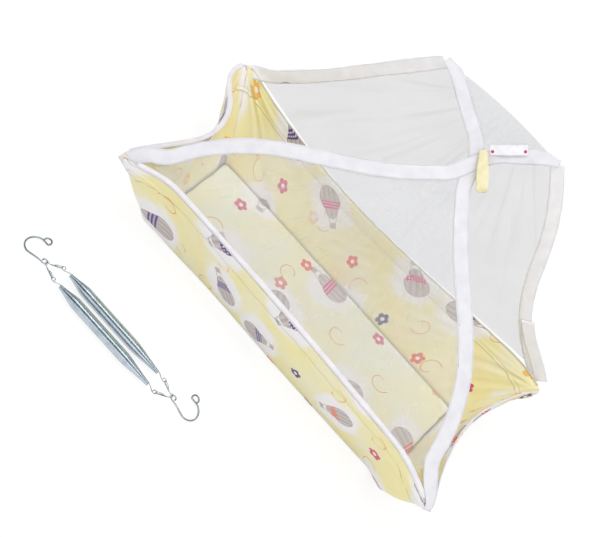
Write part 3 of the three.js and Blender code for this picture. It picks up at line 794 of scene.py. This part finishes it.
def add_wall(name):
    shift, columns = SIDES[name][5:]
    share = np.concatenate([np.linspace(0, 0.8, 44), np.linspace(0.81, 1, 26)])
    share, u = np.meshgrid(share, np.linspace(0, 1, columns)[::-1], indexing="ij")
    outer, length = wall_points(name, u, share, 0 * share)
    inner, _ = wall_points(name, u, share, hem_shape(share)[1])
    flat = xyz(u * length * MM + shift, share * CLOTH_HEIGHT)
    piece = closed_sheet(f"{name}_side_cloth", outer, inner, flat, [OUTSIDE, INSIDE])
    dress(piece, "printed_cloth", f"{name}_wall")
    length * MM


def add_piping(name):
    u = np.linspace(0.012, 0.988, 130)
    point, length = rim_points(name, u)
    point[:, 2] += PIPING_RISE
    wobble = 0.5 * waves(u * length, 0, sum(map(ord, name)), 40)
    radius, material = (1.5, FAR_CORD) if name == "far" else (2.0, HEM_TAPE)
    path = point + SIDES[name][2] * wobble[:, None]
    piece = tube(f"{name}_rim_cord", path, radius, 10, material)
    dress(piece, "white_tape", f"{name}_rim_piping")


def add_rim_tape(name, start, stop, place, facing, width):
    """A white tape along a rim: the near one is the near net's hem, and lies over its edge."""
    u = np.linspace(start, stop, 170)
    point, length = rim_points(name, u)
    centre = point + vec(*place)
    centre[:, 2] += 0.25 * waves(u * length, 0, 44, 90)
    normals = np.broadcast_to(unit(facing), centre.shape)
    widths = width + 0.8 * waves(u * length, 0, 45, 120)
    piece = ribbon(f"{name}_rim_tape", centre, normals, widths, 0.9, HEM_TAPE, 0.2, 46)
    dress(piece, "white_tape")
    flat_length = length * (stop - start) * MM


def add_floor_cloth():
    """The cloth that the walls are sewn to, under the board."""
    a, b = np.meshgrid(np.linspace(-1, 1, 120), np.linspace(-1, 1, 50))
    x = BASE_LENGTH / 2 * a * (1 - 6 / BASE_LENGTH * b**8)
    y = BASE_WIDTH / 2 * b * (1 - 6 / BASE_WIDTH * a**8)
    y = y + NEAR_TUCK * bell(a, -0.44, 0.36) * np.clip(-b, 0, 1) ** 6
    top = xyz(x, y, 1.7 + 0.25 * waves(x, y, 61, 120))
    piece = closed_sheet("floor_panel_cloth", top, xyz(x, y, 0.1), top[..., :2] * MM, [UNDER])
    dress(piece, "printed_cloth", "floor_cloth")


# ---------------------------------------------------------------- the bed

PAD_GAP = 1.2
PAD_EDGE = 19
PAD_RISE = 14
PAD_CROWN = 4
PAD_UNDER = 7.6
PUFF_FRAMES = 20
PUFF_PRESSURE = 4
PUFF_CAP = 6 * MM


def inside_walls(a, b, share):
    """Points between the inner faces of the four walls at a level, for a and b from -1 to 1."""

    def edge(name, u):
        inset = np.full_like(u, WALL + PAD_GAP)
        return wall_points(name, u, np.full_like(u, share), inset)[0][..., :2]

    one = np.ones_like(a)
    near, far = edge("near", (a + 1) / 2), edge("far", (1 - a) / 2)
    left, right = edge("left", (1 - b) / 2), edge("right", (b + 1) / 2)
    s, t = ((a + 1) / 2)[..., None], ((b + 1) / 2)[..., None]
    corners = edge("near", 0 * one) * (1 - s) * (1 - t) + edge("near", one) * s * (1 - t)
    corners = corners + edge("far", 0 * one) * s * t + edge("far", one) * (1 - s) * t
    return near * (1 - t) + far * t + left * (1 - s) + right * s - corners


def eased(count, part):
    """Numbers from -1 to 1 that lie closer at the ends."""
    quarter = math.pi / 2 * part
    return np.sin(quarter * np.linspace(-1, 1, count)) / math.sin(quarter)


def add_mattress():
    """A soft pad from wall to wall. Its crowned top turns down into a crease all round."""
    a, b = np.meshgrid(eased(150, 0.94), eased(62, 0.9))
    x, y = np.moveaxis(inside_walls(a, b, 0.09), -1, 0)
    low = np.moveaxis(inside_walls(a, b, 0.035), -1, 0)
    shoulder = np.sqrt(np.clip((1 - a**16) * (1 - b**8), 0, 1))
    crown = PAD_CROWN * np.cos(math.pi / 2 * a) * np.cos(math.pi / 2 * b)
    rumple = shoulder * (1.6 * waves(x, y, 5, 150) + 0.8 * waves(x, y, 6, 60))
    top = xyz(x, y, PAD_EDGE + PAD_RISE * shoulder + crown + rumple)
    under = xyz(*low, PAD_UNDER)
    piece = closed_sheet("mattress_pad", top, under, top[..., :2] * MM, [BED_PRINT_BRIGHTENED, UNDER])
    puff(piece, a, b)
    dress(piece, "mattress_cloth", "mattress")


def puff(piece, a, b):
    """Swells the pad's free top with a cloth simulation. Its underside and its edge stay."""
    mesh = piece.data
    before = np.empty(len(mesh.vertices) * 3)
    mesh.vertices.foreach_get("co", before)
    free = smoothstep(1 - np.abs(a), 0.02, 0.08) * smoothstep(1 - np.abs(b), 0.03, 0.14)
    held = piece.vertex_groups.new(name="held")
    for number, share in enumerate(free.ravel()):
        held.add([number], float(1 - share), "REPLACE")
    held.add(list(range(free.size, 2 * free.size)), 1.0, "REPLACE")
    cloth = piece.modifiers.new("cloth", "CLOTH")
    settings = cloth.settings
    settings.quality = 5
    settings.mass = 0.3
    settings.use_pressure = True
    settings.uniform_pressure_force = PUFF_PRESSURE
    settings.effector_weights.gravity = 0
    settings.vertex_group_mass = "held"
    cloth.point_cache.frame_start = 1
    cloth.point_cache.frame_end = PUFF_FRAMES
    for number in range(1, PUFF_FRAMES + 1):
        scene.frame_set(number)
    solved = piece.evaluated_get(bpy.context.evaluated_depsgraph_get()).to_mesh()
    after = np.empty(len(before))
    solved.vertices.foreach_get("co", after)
    move = (after - before).reshape(-1, 3)
    size = np.linalg.norm(move, axis=1, keepdims=True)
    move = move * np.minimum(1, PUFF_CAP / np.maximum(size, 1e-9))
    move[free.size :] = 0
    piece.modifiers.remove(cloth)
    piece.vertex_groups.remove(held)
    mesh.vertices.foreach_set("co", before + move.ravel())
    mesh.update()
    scene.frame_set(1)


# ---------------------------------------------------------------- the canopy

CROSSING = vec(7, 198, 490)
FOLD_LEFT = vec(-190, 243, 578)
FOLD_RIGHT = vec(131, 277, 585)
BAND = 31.0
BAND_THICK = 1.6
NET_INSET = BAND - 4


class Edge:
    """An edge of the canopy: it may bow and swing away from the sheet beside it."""

    def __init__(self, start, end, side_start, side_end, bow=0, swing=0):
        self.start = start
        self.length = float(np.linalg.norm(end - start))
        self.along = unit(end - start)
        self.sides = [unit(s - self.along * s.dot(self.along)) for s in (side_start, side_end)]
        self.bow = bow
        self.swing = swing

    def inward(self, distance):
        share = distance[..., None] / self.length
        return unit(self.sides[0] * (1 - share) + self.sides[1] * share)

    def at(self, distance, inset):
        straight = self.start + self.along * distance[..., None]
        return straight + self.inward(distance) * (inset - self.out_at(distance))[..., None]

    def out_at(self, distance):
        angle = math.pi * distance / self.length
        return self.bow * np.sin(angle) + self.swing * np.sin(2 * angle)

    def meets(self, inset, other):
        """How far along it a line at this inset meets another edge from the same corner."""
        slope = 1 / math.tan(math.acos(float(np.clip(self.along.dot(unit(other)), -1, 1))))
        distance = inset * slope
        for _ in range(8):
            distance = (inset - float(self.out_at(distance))) * slope
        return distance


def rim_foot(corner, normal, half):
    """Where a band stands on the rim's corner: on the piping, half a band up from it."""
    sign = SIGNS[corner]
    point = RIM[corner] + vec(-sign[0] * WALL / 2, -sign[1] * WALL / 2, PIPING_RISE)
    return point + np.array(normal) * (PIPING_REACH + half)


NEAR_SLOPE = unit(np.cross(RIM["near_left"] - CROSSING, RIM["near_right"] - CROSSING))
FOOT = {name: rim_foot(name, NEAR_SLOPE, BAND_THICK / 2) for name in ("near_left", "near_right")}
FOOT |= {name: rim_foot(name, (0, 0, 1), 0) for name in ("far_left", "far_right")}
NEAR_RIM = unit(FOOT["near_right"] - FOOT["near_left"])
FAR_RIM = unit(FOOT["far_right"] - FOOT["far_left"])
RIDGE = unit(FOLD_RIGHT - FOLD_LEFT)
EDGES = {
    "near_left": Edge(FOOT["near_left"], CROSSING, NEAR_RIM, NEAR_RIM, 24, 21),
    "near_right": Edge(FOOT["near_right"], CROSSING, -NEAR_RIM, -NEAR_RIM, 42, 20),
    "far_left": Edge(FOOT["far_left"], FOLD_LEFT, FAR_RIM, RIDGE, -10, -3),
    "far_right": Edge(FOOT["far_right"], FOLD_RIGHT, -FAR_RIM, -RIDGE, -24, -18),
    "flap_left": Edge(FOLD_LEFT, CROSSING, RIDGE, RIDGE),
    "flap_right": Edge(FOLD_RIGHT, CROSSING, -RIDGE, -RIDGE),
}
NEAR_NORMAL = unit(np.cross(FOOT["near_left"] - CROSSING, FOOT["near_right"] - CROSSING))
FLAP_NORMAL = unit(np.cross(FOLD_RIGHT - CROSSING, FOLD_LEFT - CROSSING))
CROSS_NORMAL = unit(NEAR_NORMAL + FLAP_NORMAL)


def ribbon(name, centre, normals, width, thickness, material, ripple=0.0, seed=1):
    """A flat band along a path of centre points, facing along the normals."""
    ahead = heading(centre)
    side = unit(np.cross(normals, ahead))
    face = unit(np.cross(ahead, side))
    across = np.linspace(-0.5, 0.5, 9)
    widths = width * np.ones(len(centre))
    steps = path_steps(centre)
    where = across * widths[:, None]
    along = steps[:, None] + 0 * where
    lift = ripple * waves(along, where * 1.5, seed, 46)
    edge_wave = 0.4 * ripple * waves(steps, 0, seed + 9, 28)
    wide = where + edge_wave[:, None] * 2 * across
    middle = centre[:, None] + side[:, None] * wide[..., None] + face[:, None] * lift[..., None]
    half = np.broadcast_to(face[:, None], middle.shape) * thickness / 2
    flat = xyz(where + widths[:, None] / 2, along) * MM
    return closed_sheet(name, middle + half, middle - half, flat, [material])


def blend_normals(pairs, count):
    """Normals along a path from a list of (share along it, normal)."""
    shares = [share for share, _ in pairs]
    wanted = np.linspace(0, 1, count)
    vectors = np.array([normal for _, normal in pairs])
    return unit(np.stack([np.interp(wanted, shares, vectors[:, k]) for k in range(3)], axis=1))


def add_band(name, points, normals, seed, nodes, wide, material):
    """A sewn tape along a list of points, wider or narrower at its two ends."""
    count = 240
    centre = smooth_path(points, count)
    steps = path_steps(centre)
    widths = BAND * (1 + 0.05 * waves(steps, 0, seed, 170))
    widths = widths * (1 + wide[0] * bell(steps, 0, 40) + wide[1] * bell(steps, steps[-1], 26))
    piece = ribbon(name, centre, blend_normals(normals, count), widths, 1.3, material, 1.0, seed)
    dress(piece, "white_tape", *nodes)


def along_edge(edge, start, stop, count, offset, narrow_from):
    """Points along an edge, half a band in from it, that draw in to it at one end."""
    distances = np.linspace(start, stop, count)
    draw = smoothstep(np.abs(distances - narrow_from), 0, 50)
    return list(edge.at(distances, BAND / 2 * (0.2 + 0.8 * draw)) + offset)


def add_long_tape(side, other, lift, seed, wide, lean, nodes, tip):
    """A tape from a near corner, over the crossing, to the fold's other end."""
    near, flap = EDGES[f"near_{side}"], EDGES[f"flap_{other}"]
    rise = FLAP_NORMAL * lift
    points = [
        *tip,
        *along_edge(near, 44, near.length - 48, 14, NEAR_NORMAL * lift, near.length),
        CROSSING + CROSS_NORMAL * lift,
        *along_edge(flap, flap.length - 44, 56, 4, rise, flap.length),
        *along_edge(flap, 40, 10, 3, rise, 0),
    ]
    bend = near.length / (near.length + flap.length)
    normals = [(0, lean), (0.06, NEAR_NORMAL), (bend - 0.06, NEAR_NORMAL)]
    normals += [(bend + 0.05, FLAP_NORMAL), (1, FLAP_NORMAL)]
    add_band(f"long_tape_{side}", points, normals, seed, nodes, (wide, -0.45), TAPE)


def add_far_tape(side, seed, past, wide, tip, tip_normals):
    """A tape along a far edge. Its end may be turned over the corner's tip."""
    edge = EDGES[f"far_{side}"]
    distances = np.linspace(6, edge.length + past, 12)
    points = edge.at(distances, BAND / 2)
    facing = unit(np.cross(edge.inward(distances), np.broadcast_to(edge.along, (12, 3))))
    normals = [(k / 11, facing[k]) for k in range(12)]
    normals[: len(tip_normals)] = tip_normals
    points = [*tip, *points[1 if tip else 0 :]]
    nodes, rests_on = [f"far_band_{side}"], ["far_rim_cord"]
    add_band(f"far_tape_{side}", points, normals, seed, nodes, (wide, -0.05), FAR_TAPE_LIT)


def add_bands():
    """Two tapes run over the crossing to the fold's ends; two more go down to the far corners."""
    lean = unit(NEAR_NORMAL + vec(0, -0.5, -0.2))
    nodes = ["near_band_left", "flap_band_right", "crossing_patch"]
    tip = [vec(-457, -206, 166), vec(-451, -191, 186), vec(-434, -171, 203)]
    add_long_tape("left", "right", 1.4, 21, 0.12, lean, nodes, tip)
    nodes = ["near_band_right", "flap_band_left"]
    tip = [vec(442, -231, 176), vec(434, -222, 190), vec(404, -196, 204)]
    add_long_tape("right", "left", -0.6, 37, -0.5, NEAR_NORMAL, nodes, tip)
    tip = [vec(-490, 190, 154), vec(-484, 204, 168), vec(-468, 217, 181)]
    tip_normals = [(0, unit(vec(-0.5, -0.4, 0.7))), (0.08, unit(vec(0, -0.6, 0.8)))]
    add_far_tape("left", 15, -1, -0.5, tip, tip_normals)
    add_far_tape("right", 16, 1, 0.0, [], [])


def in_sheet(point, centre, normal):
    """How far right of and above a centre a point of a sheet is."""
    right = unit(np.cross((0, 0, 1.0), normal))
    offset = point - centre
    return offset @ right, offset @ np.cross(normal, right)


def add_net(kind, starts, stops, foot, sag, detail, fan, ridge=None):
    """A net between two edges, from starts to stops along them. Its gathers spread from fan."""
    left, right = EDGES[f"{kind}_left"], EDGES[f"{kind}_right"]
    rows, columns = 100, 120
    v, u = np.meshgrid(np.linspace(0, 1, rows), np.linspace(0, 1, columns), indexing="ij")
    a, b = (
        edge.at(start + (stop - start) * v, NET_INSET)
        for edge, start, stop in zip((left, right), starts, stops)
    )
    point = a + (b - a) * u[..., None]
    point[..., 2] -= sag * arch(u) * arch(v)
    point[..., 1] += foot(u) * (1 - v) ** 3
    if ridge is not None:
        point = point + vec(0, 5, 5) * (arch(u) * ridge(v))[..., None]
    normal = unit(np.cross(np.gradient(point, axis=1), np.gradient(point, axis=0)))
    hold = arch(u) ** 0.6 * arch(v) ** 0.5
    point = point + normal * (hold * detail(point) - 0.9)[..., None]
    flat = xyz(np.linalg.norm(point - a[:, :1], axis=-1), v * left.length) * MM
    faces, material = grid_faces(rows, columns), FAR_NET_SHADED if kind == "far" else NEAR_NET
    name = f"{kind}_net_cloth"
    piece = make_piece(name, point.reshape(-1, 3), faces, flat.reshape(-1, 2), [material])
    around = unit(np.cross(b[0, 0] - a[0, 0], a[-1, 0] - a[0, 0]))
    across, up = in_sheet(point.reshape(-1, 3), fan, around)
    polar = xyz(np.arctan2(across, np.abs(up)), np.hypot(across, up) * MM)
    add_uv(piece.data, "fan", polar)
    dress(piece, "net", f"{kind}_net")


def radial_folds(point, centre, normal, count, seed, reach):
    """Tension folds that spread from a point over a sheet."""
    x, y = in_sheet(point, centre, normal)
    distance = np.hypot(x, y)
    angle = np.arctan2(x, -y)
    chance = random.Random(seed)
    total = np.zeros_like(angle)
    for _ in range(count):
        at = chance.uniform(-1.2, 1.2)
        wide = chance.uniform(0.025, 0.07)
        tall = chance.uniform(-1, 1)
        far = reach * chance.uniform(0.4, 1.1)
        total = total + tall * bell(angle, at, wide) * bell(distance, 0, far)
    return total * smoothstep(distance, 5, 60)


def near_folds(point):
    folds = 5 * radial_folds(point, CROSSING, NEAR_NORMAL, 14, 11, 330)
    corner = 4 * radial_folds(point, FOOT["near_right"], -NEAR_NORMAL, 10, 12, 150)
    return folds + corner + 1.6 * waves(point[..., 0], point[..., 1], 14, 210)


def far_folds(point):
    x, z = point[..., 0], point[..., 2]
    return 2.4 * waves(x, z, 31, 170, stretch=2.4) + 1.2 * waves(x, z, 32, 70, stretch=3)


def flap_folds(point):
    return 3 * radial_folds(point, CROSSING, -FLAP_NORMAL, 9, 17, 120)


def add_canopy():
    add_bands()
    clear = 34  # how far short of the crossing a net stops
    left, right = EDGES["near_left"], EDGES["near_right"]
    starts = left.meets(NET_INSET, NEAR_RIM), right.meets(NET_INSET, -NEAR_RIM)
    stops = left.length - clear, right.length - clear
    bow = lambda u: rim_bow("near", u)
    add_net("near", starts, stops, bow, 12, near_folds, CROSSING)

    left, right = EDGES["far_left"], EDGES["far_right"]
    starts = left.meets(NET_INSET, FAR_RIM), right.meets(NET_INSET, -FAR_RIM)
    ways = (left, RIDGE), (right, -RIDGE)
    angles = [math.acos(float((-edge.along).dot(way))) for edge, way in ways]
    stops = [e.length - 4 - NET_INSET / math.tan(angle) for e, angle in zip((left, right), angles)]
    bow = lambda u: -rim_bow("far", 1 - u)
    fan = (FOLD_LEFT + FOLD_RIGHT) / 2 + vec(20, 30, 60)
    ridge = lambda v: v**3
    add_net("far", starts, stops, bow, 0, far_folds, fan, ridge)

    left, right = EDGES["flap_left"], EDGES["flap_right"]
    ways = (left, RIDGE), (right, -RIDGE)
    angles = [math.acos(float(edge.along.dot(way))) for edge, way in ways]
    starts = [4.5 / math.sin(angle) + NET_INSET / math.tan(angle) for angle in angles]
    stops = left.length - clear, right.length - clear
    bow = lambda u: 0 * u
    ridge = lambda v: (1 - v) ** 2
    add_net("flap", starts, stops, bow, 0, flap_folds, CROSSING, ridge)


def add_slack():
    """The slack of the far right band near its corner: a flat fold that lies over it."""
    edge = EDGES["far_right"]
    out = unit(np.cross(edge.along, edge.sides[0]))
    if out[1] > 0:
        out = -out
    distances = vec(-4, 24, 54, 84, 114, 137, 136, 110, 80, 56)
    rises = vec(3.4, 5.0, 7.2, 8.6, 9.0, 7.4, 5.2, 4.2, 3.4, 2.6)
    over = vec(12, 15, 16, 14, 11, 9, 8, 6, 4, 2)
    centre = smooth_path(edge.at(distances, BAND / 2 - over) + out * rises[:, None], 110)
    side = edge.inward(np.full(len(centre), 60.0))
    normals = unit(np.cross(heading(centre), side))
    piece = ribbon("slack_fold", centre, normals, BAND - 1, 1.0, FAR_TAPE_LIT, 0.4, 8)
    dress(piece, "white_tape", "band_fold")


# ---------------------------------------------------------------- the hanging loop

LOOP_LIFT = 4.9
LOOP_OPENING = 12.5
LOOP_REACH = 58
LOOP_ROOT = 26


def down_right(normal):
    down, right = vec(0, 0, -1), vec(1, 0, 0)
    return unit(unit(down - normal * down.dot(normal)) + unit(right - normal * right.dot(normal)))


def add_loop():
    """The loop lies over the crossing; its tail runs to the right from its root."""
    over_near, over_flap = down_right(NEAR_NORMAL), down_right(FLAP_NORMAL)
    across = unit(np.cross(CROSS_NORMAL, over_near))
    base = CROSSING + across * 15
    third = LOOP_REACH / 3
    # How far along, and how high: out over the near net and back
    lower = (-LOOP_ROOT, 0), (-LOOP_ROOT / 2, 0), (third, 0), (2 * third, 0), (LOOP_REACH - 5, 1.5)
    bend = (LOOP_REACH, LOOP_OPENING / 2), (LOOP_REACH - 6, LOOP_OPENING - 1)
    upper = (2 * third, LOOP_OPENING), (third, 0.7 * LOOP_OPENING), (-LOOP_ROOT / 2, 3)
    points = [
        base + (over_flap if along < 0 else over_near) * along + CROSS_NORMAL * (LOOP_LIFT + height)
        for along, height in (*lower, *bend, *upper, (-LOOP_ROOT, 2.4))
    ]
    centre = smooth_path(points, 90)
    normals = unit(np.cross(heading(centre), across))
    share = np.linspace(-1, 1, len(centre))
    widths = 24 - 8 * smoothstep(np.abs(share), 0.45, 1) - 7 * bell(share, 0, 0.06)
    piece = ribbon("hanging_loop", centre, normals, widths, 1.5, LOOP, 0.8, 3)
    dress(piece, "printed_cloth", "hang_loop", body="hang_loop")

    up_right = unit(np.cross(over_flap, FLAP_NORMAL))
    if up_right[0] < 0:
        up_right = -up_right
    base = CROSSING - over_flap * LOOP_ROOT + FLAP_NORMAL * 4.4
    route = (28.5, 0), (46, 1.5), (66, 3.4), (86, 2.0), (103, 0.5)
    points = [base + up_right * along + FLAP_NORMAL * height for along, height in route]
    centre = smooth_path(points, 60)
    ahead = heading(centre)
    normals = unit(np.cross(ahead, np.broadcast_to(over_flap, centre.shape)))
    piece = ribbon("loop_tail_cloth", centre, -normals, 21, 1.2, TAIL, 0.9, 12)
    dress(piece, "printed_cloth", "loop_tail")


# ---------------------------------------------------------------- the spring set

UPPER_EYE = vec(-416, -391, 12)
STEEP = math.radians(35.6)
FLAT = math.radians(-18.2)
LINK = 40.0
PIVOTS = 297.0
COIL_START = 19.5
COIL_LENGTH = 258.0
COIL_RADIUS = 12
COIL_MOUTH = 4.4
COIL_TURNS = 150
HOOK_EYE, HOOK_WIRE, HOOK_SHANK = 5.5, 1.5, 1.95
LINK_EYE, LINK_WIRE, LINK_SHANK = 3.2, 0.8, 1.6
SPRING_EYE, SPRING_WIRE = 4, 1.0


def turn_arc(x, y, radius, start, end, count):
    angles = np.linspace(start, end, count + 1)
    return [(x + radius * math.cos(a), y + radius * math.sin(a), 0) for a in angles]


def eye_opening(radius, wire):
    return math.acos(1 - (2 * wire + 0.5) / radius)


def hook_path(mirror):
    """An open eye, a shank that bends down to the floor, the hook's bow and its curled tip."""
    opening = eye_opening(HOOK_EYE, HOOK_WIRE)
    route = turn_arc(0, 0, HOOK_EYE, 1.5 * math.pi - opening, -0.5 * math.pi, 14)
    route.append((-11, -HOOK_EYE - HOOK_WIRE / 2, 0))
    route += turn_arc(-36, 13, 23, math.radians(-100), math.radians(-260), 12)
    route += turn_arc(-30, 40.5, 8, -math.pi / 4, math.radians(200), 9)
    slope = 10 / (36 + 23 - 7)
    return [(mirror * x, y, -slope * max(0, -x - 7)) for x, y, _ in route]


def link_path(angle):
    """A link at an angle, with an eye through the hook's and another through the spring's."""
    opening = eye_opening(LINK_EYE, LINK_WIRE)
    reach = LINK_EYE - LINK_WIRE - GAP
    first = HOOK_EYE - HOOK_WIRE + reach
    last = LINK - (SPRING_EYE - SPRING_WIRE + reach)
    third = (last - first) / 3
    route = turn_arc(first, 0, LINK_EYE, -0.5 * math.pi - opening, -2.5 * math.pi, 12)
    route += [(first + third, -LINK_EYE, 0), (last - third, -LINK_EYE, 0)]
    route += turn_arc(last, 0, LINK_EYE, -0.5 * math.pi, 0.5 * math.pi, 7)
    route += [(last - 7, LINK_EYE, 0), (last - 14, 0, 0)]
    return [(x * math.cos(angle), x * math.sin(angle), y) for x, y, _ in route]


def eye_path(mirror):
    """A spring's eye and its shank, which runs into the coil's mouth."""
    opening = eye_opening(SPRING_EYE, SPRING_WIRE)
    route = turn_arc(0, 0, SPRING_EYE, -0.5 * math.pi + opening, 1.5 * math.pi, 12)
    seat = 6 - 2.5 * math.cos(math.pi / 5) - SPRING_WIRE - GAP
    route += [(SPRING_EYE, -SPRING_EYE, 0), ((COIL_START + 4) / 2, 0, 0)]
    route += [(COIL_START - 2.5, seat, 0), (COIL_START + 5, seat, 0)]
    return [(mirror * x, y, 0) for x, y, _ in route]


def add_coil(name, top):
    """A close-wound coil: each turn touches the next, and both ends taper to a small mouth."""
    rings, sides = 8, 28
    pitch = COIL_LENGTH / COIL_TURNS
    distance = np.linspace(0, COIL_LENGTH, COIL_TURNS * rings + 1)[:, None]
    cone = np.minimum(np.clip(distance / 46, 0, 1), np.clip((COIL_LENGTH - distance) / 72, 0, 1))
    cone = cone + 0.12 * arch(cone) * (2 * cone - 1)
    radius = COIL_MOUTH + (COIL_RADIUS - COIL_MOUTH) * cone
    angle = np.arange(sides) * math.tau / sides
    phase = (distance / pitch + angle / math.tau) % 1 - 0.5
    round_wire = np.sqrt(np.clip((pitch / 2) ** 2 - (phase * pitch * 0.94) ** 2, 0, None))
    radii = radius - 0.4 * (pitch / 2 - round_wire)
    points = xyz(distance, radii * np.cos(angle), radii * np.sin(angle))
    points = (points + top + vec(COIL_START, 0, 0)).reshape(-1, 3)
    flat = xyz(angle * COIL_RADIUS, distance).reshape(-1, 2) * MM
    return make_piece(name, points, tube_faces(len(distance), sides), flat, [BRIGHT])


def add_wire(name, path, offset, wire, count, body, node, shank=None):
    """A wire. Between its eyes it may have another radius: (radius, free start, free end)."""
    points = smooth_path(path, count)
    radii = np.full(count, float(wire))
    if shank:
        full, start, end = shank
        steps = path_steps(points)
        free = smoothstep(steps, start, start + 6)
        free = free * smoothstep(steps[-1] - steps, end - 0.01, end + 6)
        radii = radii + (full - wire) * free
    dress(tube(name, points + offset, radii, 12, WIRE), "steel_wire", node, body=body)


def link_end(angle):
    return vec(LINK * math.cos(angle), LINK * math.sin(angle), 0)


def add_springs():
    lower_eye = UPPER_EYE + link_end(STEEP) + vec(PIVOTS, 0, 0) + link_end(FLAT)
    shank = HOOK_SHANK, math.tau * HOOK_EYE, -6
    for hook, way, place in (("upper_hook", 1, UPPER_EYE), ("lower_hook", -1, lower_eye)):
        add_wire(f"{hook}_wire", hook_path(way), place, HOOK_WIRE, 190, hook, hook, shank)
    shank = LINK_SHANK, math.tau * LINK_EYE, 22
    for number, first, second in ((1, STEEP, FLAT), (2, FLAT, STEEP)):
        top = UPPER_EYE + link_end(first)
        bottom = top + vec(PIVOTS, 0, 0)
        spring = f"spring_{number}"
        links = ("upper", first, UPPER_EYE), ("lower", second + math.pi, lower_eye)
        for half, angle, place in links:
            link = f"{half}_link_{number}"
            add_wire(f"{link}_wire", link_path(angle), place, LINK_WIRE, 120, link, link, shank)
        eyes = ("upper", 1, top, spring), ("lower", -1, bottom, f"{spring}_end")
        for half, way, place, body in eyes:
            eye = f"{spring}_{half}_eye"
            add_wire(f"{eye}_wire", eye_path(way), place, SPRING_WIRE, 70, body, eye)
        coil = add_coil(f"{spring}_winding", top)
        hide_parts(f"{spring}_coil")
        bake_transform(coil)


# ---------------------------------------------------------------- all together

for side_name in SIDES:
    add_wall(side_name)
    add_piping(side_name)
add_floor_cloth()
add_mattress()
add_canopy()
add_rim_tape("near", 0.03, 0.982, (0, 1.3, 8.7), (0, -0.6, 0.8), 9.5)
add_rim_tape("left", 0.05, 0.96, (0.5, 0, 5.4), (0.1, -0.35, 0.93), 10.5)
add_slack()
add_loop()
add_springs()

# The board shows as its CAD node is, in a finished material
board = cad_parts["base_board"]
board.data.materials.clear()
board.data.materials.append(BOARD)
